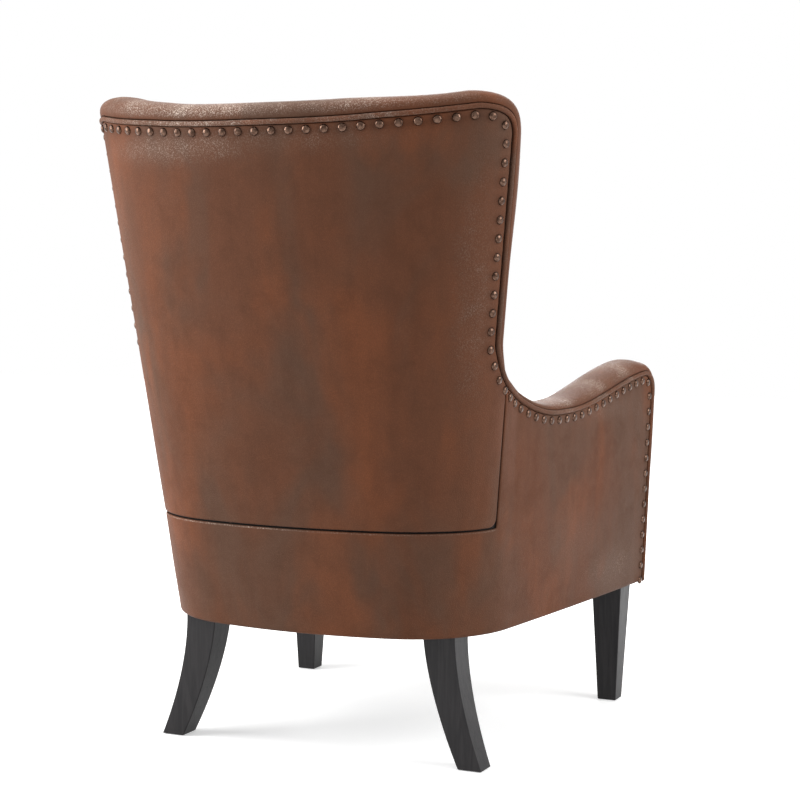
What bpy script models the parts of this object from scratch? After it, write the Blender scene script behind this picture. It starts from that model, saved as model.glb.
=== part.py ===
"""High-backed club chair: an upholstered back unit that stands on a base unit with arms.

The outside of the chair is one leaning, barrel-shaped shell. The upholstered pieces are laid
out in shell coordinates: s runs along the shell's lower edge from the centre of the back,
positive towards +X, z is the height above the floor, and depth is measured inwards from the
outside face. The front is -Y, the sitter's right is -X, and the floor is z = 0.
All sizes are in metres.
"""
import math

import bmesh
import bpy
from mathutils import Vector
from mathutils.bvhtree import BVHTree

# Outside shell
BASE_BOTTOM = 0.1930
BACK_FACE_Y = 0.2750
BACK_RADIUS = 0.6710
BACK_TURN = math.radians(12.5)
CORNER_RADIUS = 0.1624
SIDE_SPLAY_REAR = math.radians(7.1)
SIDE_SPLAY_FRONT = math.radians(4.5)
SIDE_LENGTH = 0.4900
BACK_LEAN = 0.1563
SIDE_LEAN = 0.0443
LEAN_START = math.radians(4.0)
LEAN_SPAN = math.radians(40.0)
BACK_STEPS = 4
CORNER_STEPS = 14
SIDE_STEPS = 14
SHELL_RUN_ON = 0.0600
MARK_MARGIN = 0.0020

# Clearances
TOUCH = 0.0003
LAYER_GAP = 0.0008
UNIT_GAP = 0.0040
CUSHION_CLEAR = 0.0040
PAD_BACKING = 0.0020

# Covers, welt and studs
COVER_THICKNESS = 0.0038
WELT_RADIUS = 0.0036
WELT_SIDES = 6
WELT_FACET = 0.0003
STUD_RADIUS = 0.0058
STUD_HEIGHT = 0.0032
STUD_RIM = 0.0008
STUD_PITCH = 0.0260
STUD_INSET = 0.0120
STUD_PATH_STEPS = 600

# Rolled edges of the pads
RIM_INSET = 0.0080
RIM_STEP = 0.0010
ROLL_WALL = 0.0008
ROLL_BACKING = 0.0080
ROLL_ANGLES = (0.0, 36.0, 66.0, 90.0)

# Back unit
SEAM_HEIGHT = 0.3516
BACK_GAP_S = 0.3000
CREST_HEIGHT = 0.9275
CREST_RISE = 0.0185
CREST_RISE_AT = 0.2300
WING_EDGE = 0.2725
WING_CORNER = 0.0400
CROOK_DROP = 0.0039
CROOK_SPAN = 0.0700
CREST_ROLL = 0.0300
CREST_ROLL_HALF = 0.1000
CREST_ROLL_BLEND = 0.1200
CORNER_ROLL = 0.0250
WING_ROLL = 0.0180
WING_SWELL_LOW = 0.7000
WING_SWELL_SPAN = 0.1300
LOW_ROLL = 0.0065
BACK_ROLL_DEPTH = 0.0340
BACK_PAD_DEPTH = 0.1240
BACK_CROWN = 0.0120
BACK_EDGE_ROUND = 0.0550
BACK_SIDE_STEPS = (4, 4, 4, 3)
BACK_CREST_STEPS = (3, 6)
BACK_COVER_CORNER_STEPS = 4
BACK_COVER_CROOK_STEPS = 6
BACK_COVER_LOWER_STEPS = 4
BACK_COVER_UPPER_STEPS = 5
TUFT_COLUMNS_WIDE = (5, 9, 13)
TUFT_COLUMNS_NARROW = (7, 11)
TUFT_ROWS = (4, 9, 11)
TUFT_DEPTH = 0.0260
TUFT_REACH = 0.0560
BUTTON_RADIUS = 0.0125
BUTTON_HEIGHT = 0.0070
BUTTON_SIDES = 8

# Arms
ARM_DIP_S = 0.4850
ARM_DIP_HEIGHT = 0.5065
ARM_FRONT_RISE = 0.0430
ARM_RISE_S = 0.5100
ARM_PEAK_S = 0.8200
ARM_REAR_CURVE = 1.6000
ARM_CORNER = 0.0340
ARM_ROLL = 0.0260
ARM_FRONT_ROLL = 0.0160
ARM_FRONT_SWELL = 0.0086
ARM_SWELL_LOW = 0.3400
ARM_SWELL_SPAN = 0.1000
ARM_SWELL_FADE = 0.0100
ARM_ROLL_START = 0.0080
ARM_ROLL_BLEND = 0.0600
ARM_REAR_ROLL = 0.0120
ARM_REAR_TAPER = 0.4500
ARM_ROLL_DEPTH = 0.0300
ARM_PAD_DEPTH = 0.0880
ARM_CROWN = 0.0060
ARM_EDGE_ROUND = 0.0550
ARM_PAD_BOTTOM = 0.3000
ARM_FRONT_STEPS = (3, 3)
ARM_COVER_CORNER_STEPS = 4
ARM_COVER_ROW_COUNT = 4
ARM_TOP_STEPS = (3, 12, 3)

# Timber frame
RAIL_BOTTOM = 0.1965
RAIL_TOP = 0.2895
RAIL_THICKNESS = 0.0200
REAR_RAIL_THICKNESS = 0.0234
BACK_FRAME_THICKNESS = 0.0354
FRAME_INSET = 0.0105
REAR_RAIL_HALF = 0.2000
SIDE_RAIL_START = 0.3450
BLOCK_TOP = 0.2600
REAR_BLOCK_DEPTH = 0.0750
FRONT_BLOCK_DEPTH = 0.0800
FRONT_BLOCK_START = 0.7200
FRONT_RAIL_THICKNESS = 0.0260
TOP_RAIL_HEIGHT = 0.0620
BOTTOM_RAIL_HEIGHT = 0.0700
POST_WIDTH = 0.0305
POST_ROW_COUNT = 8
PANEL_ROW_COUNT = 5
RAIL_ROW_COUNT = 2

# Webbing, springs, deck and dust cover
WEB_WIDTH = 0.0500
WEB_PITCH = 0.0800
WEB_COUNT = 5
WEB_THICKNESS = 0.0020
WEB_WAIST = 0.6000
SPRING_COUNT = 5
SPRING_PITCH = 0.0800
SPRING_WIRE = 0.0020
SPRING_SWING = 0.0230
SPRING_WAVE = 0.0500
DECK_THICKNESS = 0.0290
DUST_COVER_THICKNESS = 0.0012

# Seat cushion
CUSHION_THICKNESS = 0.1200
CUSHION_CROWN = 0.0220
CUSHION_DRAW = 0.0060
CUSHION_BULGE = 0.0050
CUSHION_FRONT_BOW = 0.0080
CUSHION_BASE_RINGS = (0.45, 0.90)
CUSHION_CROWN_RINGS = ((0.78, 0.55), (0.50, 0.87), (0.22, 1.0))
CUSHION_FRONT_INSET = 0.0060
SEAT_FRONT_STEPS = 8
SEAT_BLEND_BEHIND = 0.0200
SEAT_BLEND = 0.0900

# Front apron
APRON_THICKNESS = 0.0090
APRON_CROWN = 0.0040
APRON_TOP_GAP = 0.0010
APRON_COLUMN_COUNT = 12
APRON_ROW_COUNT = 3

# Hook brackets between the back unit and the arms
BRACKET_PLATE = 0.0030
BRACKET_BELOW_CROOK = 0.0250
BRACKET_HEIGHT = 0.1100
BRACKET_LUG = 0.0500
BRACKET_NEAR = 0.0100
BRACKET_FAR = 0.0220

# Legs, bolts and glides
LEG_TOP_HALF = 0.0255
REAR_FOOT_HALF = 0.0187
FRONT_FOOT_HALF = 0.0158
REAR_LEG_SPREAD = 0.2000
REAR_LEG_SETBACK = 0.0905
REAR_FOOT_SPLAY = 0.0505
REAR_FOOT_KICK = 0.0104
FRONT_LEG_INSET = 0.0360
FRONT_LEG_SETBACK = 0.0538
FRONT_FOOT_KICK = 0.0040
SABRE_POWER = 1.7
REAR_LEG_STEPS = 7
FRONT_LEG_STEPS = 1
LEG_EDGE = 0.0020
BOLT_RADIUS = 0.0040
BOLT_CLEAR = 0.0003
BOLT_IN_LEG = 0.0400
BOLT_IN_BLOCK = 0.0450
FRONT_BOLT_INBOARD = 0.0100
BOLT_SIDES = 10
GLIDE_RADIUS = 0.0120
GLIDE_HEIGHT = 0.0040
GLIDE_SIDES = 16

FRAME_DEPTH = COVER_THICKNESS + LAYER_GAP
PAD_EDGE_DEPTH = FRAME_DEPTH
ARM_REAR_S = BACK_GAP_S + UNIT_GAP
CROOK_LOW = ARM_DIP_HEIGHT + ARM_REAR_CURVE * (ARM_DIP_S - ARM_REAR_S) ** 2 - CROOK_DROP
CROOK_HIGH = CROOK_LOW + CROOK_SPAN
BRACKET_HIGH = CROOK_LOW - BRACKET_BELOW_CROOK
BRACKET_MEET = BRACKET_HIGH - BRACKET_LUG
BRACKET_LOW = BRACKET_HIGH - BRACKET_HEIGHT
RAIL_FAR = FRAME_DEPTH + RAIL_THICKNESS
BACK_FRAME_FAR = FRAME_DEPTH + BACK_FRAME_THICKNESS
WEB_NEAR = BACK_FRAME_FAR + TOUCH
BACK_PAD_NEAR = WEB_NEAR + WEB_THICKNESS + LAYER_GAP
ARM_PAD_NEAR = RAIL_FAR + PAD_BACKING
BACK_BOTTOM = SEAM_HEIGHT + UNIT_GAP / 2
BASE_COVER_TOP = SEAM_HEIGHT - UNIT_GAP / 2
REAR_RAIL_TOP = SEAM_HEIGHT - TOUCH
BACK_FRAME_BOTTOM = SEAM_HEIGHT + TOUCH
ROLL_START = WELT_RADIUS + LAYER_GAP
BACK_COLUMN_COUNT = 2 * sum(BACK_CREST_STEPS)
BACK_ROW_COUNT = sum(BACK_SIDE_STEPS)
ARM_COLUMN_COUNT = sum(ARM_TOP_STEPS)
ARM_ROW_COUNT = sum(ARM_FRONT_STEPS)
COVER_EDGE = WELT_RADIUS + LAYER_GAP
LEG_TOP = RAIL_BOTTOM - TOUCH
SPRING_HEIGHT = RAIL_TOP + TOUCH + SPRING_WIRE
DECK_BOTTOM = SPRING_HEIGHT + SPRING_WIRE + TOUCH
DECK_TOP = DECK_BOTTOM + DECK_THICKNESS
CUSHION_BOTTOM = DECK_TOP + TOUCH
CUSHION_EDGE_TOP = CUSHION_BOTTOM + CUSHION_THICKNESS

FINISHES = {
    "hide": ((0.150, 0.082, 0.052), 0.55, 0.0),
    "stud_metal": ((0.230, 0.120, 0.070), 0.35, 1.0),
    "leg_wood": ((0.018, 0.013, 0.011), 0.30, 0.0),
    "frame_wood": ((0.420, 0.290, 0.170), 0.65, 0.0),
    "panel_wood": ((0.500, 0.360, 0.220), 0.60, 0.0),
    "steel": ((0.400, 0.400, 0.410), 0.35, 1.0),
    "webbing": ((0.300, 0.220, 0.130), 0.90, 0.0),
    "deck_cloth": ((0.060, 0.045, 0.038), 0.90, 0.0),
    "dust_cloth": ((0.012, 0.012, 0.013), 0.95, 0.0),
    "glide_nylon": ((0.030, 0.028, 0.027), 0.50, 0.0),
}


def clear_scene():
    """Remove every object that the file starts with."""
    for item in list(bpy.data.objects):
        bpy.data.objects.remove(item, do_unlink=True)


def finish(name):
    """Return the named finish as a material, made on first use."""
    found = bpy.data.materials.get(name)
    if found:
        return found
    colour, roughness, metallic = FINISHES[name]
    material = bpy.data.materials.new(name)
    material.use_nodes = True
    shader = material.node_tree.nodes["Principled BSDF"]
    shader.inputs["Base Color"].default_value = (*colour, 1.0)
    shader.inputs["Roughness"].default_value = roughness
    shader.inputs["Metallic"].default_value = metallic
    material.diffuse_color = (*colour, 1.0)
    return material


def add_empty(name, place=(0.0, 0.0, 0.0), parent=None):
    """Add an empty that carries one unit of the chair."""
    empty = bpy.data.objects.new(name, None)
    empty.location = place
    empty.parent = parent
    bpy.context.collection.objects.link(empty)
    return empty


def add_solid(name, mesh_data, finish_name, parent, smooth=True):
    """Turn a closed bmesh in chair coordinates into a named object under its unit's empty."""
    bmesh.ops.recalc_face_normals(mesh_data, faces=mesh_data.faces[:])
    bmesh.ops.translate(mesh_data, verts=mesh_data.verts[:], vec=-parent.location)
    mesh = bpy.data.meshes.new(name)
    mesh_data.to_mesh(mesh)
    mesh_data.free()
    if smooth:
        mesh.shade_smooth()
        mesh.set_sharp_from_angle(angle=math.radians(40.0))
    mesh.materials.append(finish(finish_name))
    item = bpy.data.objects.new(name, mesh)
    item.parent = parent
    bpy.context.collection.objects.link(item)
    return item


def smoothstep(value):
    """Ease from 0 to 1 with flat ends."""
    value = min(1.0, max(0.0, value))
    return value * value * (3.0 - 2.0 * value)


def quarter(value):
    """Quarter of an ellipse: 0 at the edge, 1 one rounding width inside it."""
    value = min(1.0, max(0.0, value))
    return math.sqrt(1.0 - (1.0 - value) ** 2)


def shell_stations():
    """Half plan of the shell's lower edge, as (s, point, outward normal, lean) rows."""
    rows = []

    def add(s, point, angle):
        normal = Vector((math.cos(angle), math.sin(angle)))
        slope = smoothstep((angle - LEAN_START) / LEAN_SPAN)
        lean = SIDE_LEAN + (BACK_LEAN - SIDE_LEAN) * slope
        rows.append((s, point, normal, normal * lean))

    corner_angle = math.pi / 2 - BACK_TURN
    side_radius = SIDE_LENGTH / (SIDE_SPLAY_REAR - SIDE_SPLAY_FRONT)
    arcs = (
        (BACK_RADIUS, math.pi / 2, corner_angle, BACK_STEPS),
        (CORNER_RADIUS, corner_angle, SIDE_SPLAY_REAR, CORNER_STEPS),
        (side_radius, SIDE_SPLAY_REAR, SIDE_SPLAY_FRONT, SIDE_STEPS),
    )
    add(0.0, Vector((0.0, BACK_FACE_Y)), math.pi / 2)
    for radius, start, end, steps in arcs:
        s_start, point = rows[-1][0], rows[-1][1]
        centre = point - radius * Vector((math.cos(start), math.sin(start)))
        for step in range(1, steps + 1):
            angle = start + (end - start) * step / steps
            place = centre + radius * Vector((math.cos(angle), math.sin(angle)))
            add(s_start + radius * (start - angle), place, angle)
    ahead = Vector((math.sin(SIDE_SPLAY_FRONT), -math.cos(SIDE_SPLAY_FRONT)))
    add(rows[-1][0] + SHELL_RUN_ON, rows[-1][1] + ahead * SHELL_RUN_ON, SIDE_SPLAY_FRONT)
    return rows


STATIONS = shell_stations()
CORNER_END = STATIONS[BACK_STEPS + CORNER_STEPS][0]
SHELL_END = STATIONS[-2][0]
FRONT_POINT = STATIONS[-2][1]
REAR_LEG_TOP = (REAR_LEG_SPREAD, BACK_FACE_Y - REAR_LEG_SETBACK)
REAR_FOOT = (REAR_LEG_TOP[0] + REAR_FOOT_SPLAY, REAR_LEG_TOP[1] + REAR_FOOT_KICK)
FRONT_LEG_TOP = (FRONT_POINT.x - FRONT_LEG_INSET, FRONT_POINT.y + FRONT_LEG_SETBACK)
FRONT_FOOT = (FRONT_LEG_TOP[0], FRONT_LEG_TOP[1] + FRONT_FOOT_KICK)


def on_shell(s, z, depth=0.0):
    """Chair coordinates of a point given in shell coordinates."""
    reach = abs(s)
    index = 1
    while index < len(STATIONS) - 1 and STATIONS[index][0] < reach:
        index += 1
    s0, point0, normal0, lean0 = STATIONS[index - 1]
    s1, point1, normal1, lean1 = STATIONS[index]
    t = (reach - s0) / (s1 - s0)
    plan = point0.lerp(point1, t) + lean0.lerp(lean1, t) * (z - BASE_BOTTOM)
    plan -= normal0.lerp(normal1, t) * depth
    return Vector((math.copysign(1.0, s) * plan.x, plan.y, z))


def columns(s0, s1):
    """Stations between two places on the shell, with the two ends, in order."""
    marks = [row[0] for row in STATIONS]
    marks += [-mark for mark in marks]
    inside = [mark for mark in marks if s0 + MARK_MARGIN < mark < s1 - MARK_MARGIN]
    return sorted(set([s0, s1] + inside))


def solid_between(near, far, faces):
    """Closed bmesh between two sheets of points that share their faces."""
    shape = bmesh.new()
    near_verts = [shape.verts.new(point) for point in near]
    far_verts = [shape.verts.new(point) for point in far]
    used = {}
    for face in faces:
        shape.faces.new([near_verts[i] for i in face])
        shape.faces.new([far_verts[i] for i in reversed(face)])
        for a, b in zip(face, face[1:] + face[:1]):
            used.setdefault((min(a, b), max(a, b)), []).append((a, b))
    for uses in used.values():
        if len(uses) == 1:
            a, b = uses[0]
            shape.faces.new([near_verts[b], near_verts[a], far_verts[a], far_verts[b]])
    loose = [vert for vert in shape.verts if not vert.link_faces]
    bmesh.ops.delete(shape, geom=loose, context="VERTS")
    bmesh.ops.triangulate(shape, faces=[f for f in shape.faces if len(f.verts) > 4])
    return shape


def shell_solid(flat, near, far, faces):
    """Closed bmesh between two depths of (s, z) points; near and far hold one depth per point.

    Every quad is cut along its rising diagonal, so that neighbouring layers share their facets.
    """
    cut = []
    for face in faces:
        if len(face) == 3:
            cut.append(face)
            continue
        low = min(range(4), key=lambda k: flat[face[k]][0] + flat[face[k]][1])
        a, b, c, d = face[low:] + face[:low]
        cut += [[a, b, c], [a, c, d]]
    near_points = [on_shell(s, z, depth) for (s, z), depth in zip(flat, near)]
    far_points = [on_shell(s, z, depth) for (s, z), depth in zip(flat, far)]
    return solid_between(near_points, far_points, cut)


def shell_sheet(flat, near, far, faces):
    """Closed bmesh between two even depths of (s, z) points."""
    return shell_solid(flat, [near] * len(flat), [far] * len(flat), faces)


def grid_faces(count_u, count_v):
    """Quads of a grid of points stored row by row, count_u + 1 points in each row."""
    wide = count_u + 1
    quads = []
    for v in range(count_v):
        for u in range(count_u):
            corner = v * wide + u
            quads.append([corner, corner + 1, corner + wide + 1, corner + wide])
    return quads


def shell_block(name, marks, low, high, near, far, finish_name, parent, rows=1):
    """Piece that follows the shell between two heights and two depths.

    low and high are heights, or functions of s that give them.
    """
    flat = []
    for row in range(rows + 1):
        for s in marks:
            z_low = low(s) if callable(low) else low
            z_high = high(s) if callable(high) else high
            flat.append((s, z_low + (z_high - z_low) * row / rows))
    shape = shell_sheet(flat, near, far, grid_faces(len(marks) - 1, rows))
    return add_solid(name, shape, finish_name, parent, smooth=False)


def prism(name, outline, low, high, finish_name, parent):
    """Upright prism over a plan outline."""
    near = [Vector((point[0], point[1], high)) for point in outline]
    far = [Vector((point[0], point[1], low)) for point in outline]
    shape = solid_between(near, far, [list(range(len(outline)))])
    return add_solid(name, shape, finish_name, parent, smooth=False)


def turned(name, place, profile, sides, finish_name, parent, axis=Vector((0.0, 0.0, 1.0))):
    """Solid of revolution: profile is (radius, height) pairs from the lower pole upwards."""
    turn = Vector((0.0, 0.0, 1.0)).rotation_difference(axis)
    shape = bmesh.new()
    rings = []
    for radius, height in profile:
        ring = []
        for index in range(sides):
            angle = 2 * math.pi * index / sides
            spot = Vector((radius * math.cos(angle), radius * math.sin(angle), height))
            ring.append(shape.verts.new(place + turn @ spot))
        rings.append(ring)
    for lower, upper in zip(rings, rings[1:]):
        for index in range(sides):
            after = (index + 1) % sides
            shape.faces.new([lower[index], lower[after], upper[after], upper[index]])
    shape.faces.new(rings[0][::-1])
    shape.faces.new(rings[-1])
    return add_solid(name, shape, finish_name, parent)


def tube(name, points, radius, sides, finish_name, parent):
    """Round cord along a list of points, closed at both ends."""
    shape = bmesh.new()
    rings = []
    side = None
    for index, point in enumerate(points):
        before = points[max(0, index - 1)]
        after = points[min(len(points) - 1, index + 1)]
        along = (after - before).normalized()
        if side is None:
            side = along.orthogonal().normalized()
        side = (side - along * side.dot(along)).normalized()
        other = along.cross(side)
        ring = []
        for step in range(sides):
            angle = 2 * math.pi * step / sides
            spoke = side * math.cos(angle) + other * math.sin(angle)
            ring.append(shape.verts.new(point + spoke * radius))
        rings.append(ring)
    for first, second in zip(rings, rings[1:]):
        for step in range(sides):
            after = (step + 1) % sides
            shape.faces.new([first[step], first[after], second[after], second[step]])
    shape.faces.new(rings[0][::-1])
    shape.faces.new(rings[-1])
    return add_solid(name, shape, finish_name, parent)


def path_length(path):
    """Length of a polyline of (s, z) points."""
    return sum(math.dist(a, b) for a, b in zip(path, path[1:]))


def resample(path, count):
    """Points at equal steps along a polyline, count + 1 of them, ends included."""
    total = path_length(path)
    result = [path[0]]
    walked = 0.0
    target = total / count
    for a, b in zip(path, path[1:]):
        step = math.dist(a, b)
        while step > 0 and walked + step >= target - 1e-9 and len(result) < count:
            t = (target - walked) / step
            result.append((a[0] + (b[0] - a[0]) * t, a[1] + (b[1] - a[1]) * t))
            target = total * len(result) / count
        walked += step
    result = result[:count] + [path[-1]]
    return result


def sampled(pieces, counts):
    """Join the pieces of a line, each cut into its own number of equal steps."""
    line = [pieces[0][0]]
    for piece, count in zip(pieces, counts):
        line += resample(piece, count)[1:]
    return line


def joined(pieces):
    """Join the pieces of a line at their shared ends."""
    line = [pieces[0][0]]
    for piece in pieces:
        line += piece[1:]
    return line


def thinned(path, tolerance):
    """The fewest points of a polyline that keep it within a tolerance."""
    if len(path) < 3:
        return list(path)
    ends = [path[0], path[-1]]
    away = [distance_to(ends, point) for point in path]
    worst = max(range(len(path)), key=lambda k: away[k])
    if away[worst] <= tolerance:
        return ends
    return thinned(path[:worst + 1], tolerance)[:-1] + thinned(path[worst:], tolerance)


def with_stations(path):
    """A polyline with a point added wherever it crosses one of the shell's stations."""
    marks = [row[0] for row in STATIONS]
    marks += [-mark for mark in marks[1:]]
    result = [path[0]]
    for a, b in zip(path, path[1:]):
        low, high = min(a[0], b[0]) + MARK_MARGIN, max(a[0], b[0]) - MARK_MARGIN
        crossed = [mark for mark in marks if low < mark < high]
        for mark in sorted(crossed, reverse=b[0] < a[0]):
            t = (mark - a[0]) / (b[0] - a[0])
            result.append((mark, a[1] + (b[1] - a[1]) * t))
        result.append(b)
    return result


def path_normals(path):
    """Unit normals on the right-hand side of a polyline's direction of travel."""
    normals = []
    for index in range(len(path)):
        a = path[max(0, index - 1)]
        b = path[min(len(path) - 1, index + 1)]
        along = Vector((b[0] - a[0], b[1] - a[1])).normalized()
        normals.append(Vector((along.y, -along.x)))
    return normals


def shifted(path, offset):
    """Polyline moved sideways by one offset, to the right of its direction of travel."""
    normals = path_normals(path)
    return [(p[0] + n.x * offset, p[1] + n.y * offset) for p, n in zip(path, normals)]


def mirrored(path):
    """The same polyline on the other half of the shell, walked the other way."""
    return [(-s, z) for s, z in reversed(path)]


def crest_height(s):
    """Height of the back's upper welt."""
    return CREST_HEIGHT + CREST_RISE * (min(abs(s), WING_EDGE - WING_CORNER) / CREST_RISE_AT) ** 3


def above_crook(z):
    """0 below the crook between arm and wing, 1 above it."""
    return smoothstep((z - CROOK_LOW) / (CROOK_HIGH - CROOK_LOW))


def wing_edge_at(z):
    """Place of the back unit's front edge along s at a height."""
    low = BACK_GAP_S - UNIT_GAP / 2 - LOW_ROLL
    return low + (WING_EDGE - low) * above_crook(z)


def wing_corner(steps):
    """Rounded upper corner of the wing, from its front edge to the crest."""
    top = crest_height(WING_EDGE - WING_CORNER)
    points = []
    for step in range(steps + 1):
        t = step / steps
        points.append((WING_EDGE - WING_CORNER * t * t, top - WING_CORNER * (1 - t) ** 2))
    return points


def back_half_line():
    """Welt line of one half of the back, in pieces: its side from the bottom up, and its crest."""
    corner = wing_corner(16)

    def edge(low, high):
        heights = [low + (high - low) * k / 20 for k in range(21)]
        return [(wing_edge_at(z), z) for z in heights]

    marks = (BACK_BOTTOM, CROOK_LOW, CROOK_HIGH, corner[0][1])
    side = [edge(low, high) for low, high in zip(marks, marks[1:])] + [corner[:9]]
    reach = corner[-1][0]
    crest = [(reach * (1 - k / 20), crest_height(reach * (1 - k / 20))) for k in range(21)]
    return side, [corner[8:], crest]


def arm_line(s):
    """Height of the arm's welt along the arm, before its front corner."""
    if s < ARM_DIP_S:
        return ARM_DIP_HEIGHT + ARM_REAR_CURVE * (ARM_DIP_S - s) ** 2
    return ARM_DIP_HEIGHT + ARM_FRONT_RISE * smoothstep((s - ARM_RISE_S) / (ARM_PEAK_S - ARM_RISE_S))


def arm_top(s, inset):
    """Upper outline of the arm, drawn in by an inset, with its rounded front corner."""
    centre_s = SHELL_END - ARM_CORNER
    if s <= centre_s:
        return arm_line(s) - inset
    radius = ARM_CORNER - inset
    return arm_line(centre_s) - ARM_CORNER + math.sqrt(max(0.0, radius ** 2 - (s - centre_s) ** 2))


def arm_corner(inset, steps):
    """Places along s of the arm's rounded front corner, drawn in by an inset."""
    radius = ARM_CORNER - inset
    centre_s = SHELL_END - ARM_CORNER
    return [centre_s + radius * math.sin(math.pi / 2 * k / steps) for k in range(1, steps + 1)]


def arm_line_path(bottom, rear):
    """Welt line of an arm, in pieces: its front edge and corner, and its corner, top and rear."""
    centre_s = SHELL_END - ARM_CORNER
    centre_z = arm_line(centre_s) - ARM_CORNER
    corner = []
    for step in range(17):
        angle = math.pi / 2 * step / 16
        corner.append((centre_s + ARM_CORNER * math.cos(angle), centre_z + ARM_CORNER * math.sin(angle)))
    top = [centre_s + (CORNER_END - centre_s) * k / 40 for k in range(41)]
    turn = [CORNER_END + (rear - CORNER_END) * k / 10 for k in range(11)]
    rests = [[(s, arm_line(s)) for s in run] for run in (top, turn)]
    return [[(SHELL_END, bottom), corner[0]], corner[:9]], [corner[8:]] + rests


def height_on(path, s):
    """Height of a polyline at a place along s; the polyline runs one way along s."""
    marks = sorted(path)
    for (s0, z0), (s1, z1) in zip(marks, marks[1:]):
        if s <= s1:
            return z0 + (z1 - z0) * max(0.0, s - s0) / max(s1 - s0, 1e-9)
    return marks[-1][1]


def coons(bottom, right, top, left):
    """Grid of (s, z) points inside four edges; bottom and top run left to right."""
    rows = []
    last_u, last_v = len(bottom) - 1, len(right) - 1
    for v in range(last_v + 1):
        fv = v / last_v
        for u in range(last_u + 1):
            fu = u / last_u
            point = []
            for axis in (0, 1):
                ruled_v = bottom[u][axis] * (1 - fv) + top[u][axis] * fv
                ruled_u = left[v][axis] * (1 - fu) + right[v][axis] * fu
                low = bottom[0][axis] * (1 - fu) + bottom[-1][axis] * fu
                high = top[0][axis] * (1 - fu) + top[-1][axis] * fu
                point.append(ruled_v + ruled_u - low * (1 - fv) - high * fv)
            rows.append(tuple(point))
    return rows


def distance_to(path, point):
    """Least distance from a point to a polyline."""
    best = 1.0
    spot = Vector(point)
    for a, b in zip(path, path[1:]):
        start = Vector(a)
        along = Vector(b) - start
        t = min(1.0, max(0.0, (spot - start).dot(along) / max(along.length_squared, 1e-12)))
        best = min(best, (spot - start - along * t).length)
    return best


def rolled_pad(rim, inner, count_u, rim_ids, rolls, wrap, roll_depth, near_depth, thickness, edge_round):
    """Pad over a frame, whose edge rolls outwards round the frame to the welt line.

    rim is the welt line and inner the pad's grid inside it; rim_ids are the grid points along the
    rim. rolls holds how far the pad stands past the welt at each rim point, wrap gives at a height
    whether it goes round the frame (1) or stops in front of it (0), and thickness gives the depth
    of its sitting side at a place (s, z). Returns the flat points, faces and depths.
    """
    flat = list(inner)
    count_v = len(inner) // (count_u + 1) - 1
    faces = grid_faces(count_u, count_v)
    near = [near_depth] * len(inner)
    normals = path_normals(rim)
    rows = [list(rim_ids)]

    def middle_depth(z):
        return near_depth + ROLL_BACKING + (roll_depth - near_depth - ROLL_BACKING) * wrap(z)

    def add_row(reach_of, sink):
        row = []
        for index, (point, normal) in enumerate(zip(rim, normals)):
            reach = reach_of(rolls[index])
            start = near_depth + (PAD_EDGE_DEPTH - near_depth) * wrap(point[1])
            row.append(len(flat))
            flat.append((point[0] + normal.x * reach, point[1] + normal.y * reach))
            near.append(start + (middle_depth(point[1]) - ROLL_WALL - start) * sink)
        rows.append(row)

    add_row(lambda roll: RIM_STEP - RIM_INSET, 0.0)
    for angle in ROLL_ANGLES:
        rise = math.sin(math.radians(angle))
        sink = 1.0 - math.cos(math.radians(angle))
        add_row(lambda roll, rise=rise: ROLL_START + (roll - ROLL_START) * rise, sink)
    for first, second in zip(rows, rows[1:]):
        for index in range(len(rim) - 1):
            faces.append([first[index], second[index], second[index + 1], first[index + 1]])
    edge = [flat[index] for index in rows[-1]]
    far = []
    for point in flat:
        swell = quarter(distance_to(edge, point) / edge_round)
        lip = middle_depth(point[1]) + ROLL_WALL
        far.append(lip + (thickness(point) - lip) * swell)
    for index, point in zip(rows[-1], rim):
        far[index] = middle_depth(point[1]) + ROLL_WALL
    return flat, faces, near, far


def build_pad(name, layout, parent, side=1.0):
    """Make a pad's solid from its flat points, faces and depths, on one side of the chair."""
    flat, faces, near, far = layout
    placed = [(side * s, z) for s, z in flat]
    return add_solid(name, shell_solid(placed, near, far, faces), "hide", parent)


def shell_frame(s, z):
    """Place on the shell with its unit outward normal."""
    along = on_shell(s + STUD_RADIUS, z) - on_shell(s - STUD_RADIUS, z)
    up = on_shell(s, z + STUD_RADIUS) - on_shell(s, z - STUD_RADIUS)
    return on_shell(s, z), up.cross(along).normalized()


def stud_spots(path):
    """Places along a line on the shell, two to each stud pitch, at equal true distances."""
    fine = resample(path, STUD_PATH_STEPS)
    walked = [0.0]
    for a, b in zip(fine, fine[1:]):
        walked.append(walked[-1] + (on_shell(*b) - on_shell(*a)).length)
    count = 2 * round(walked[-1] / STUD_PITCH)
    spots = []
    for k in range(count + 1):
        target = walked[-1] * k / count
        spots.append(fine[min(range(len(fine)), key=lambda i: abs(walked[i] - target))])
    return spots


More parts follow.
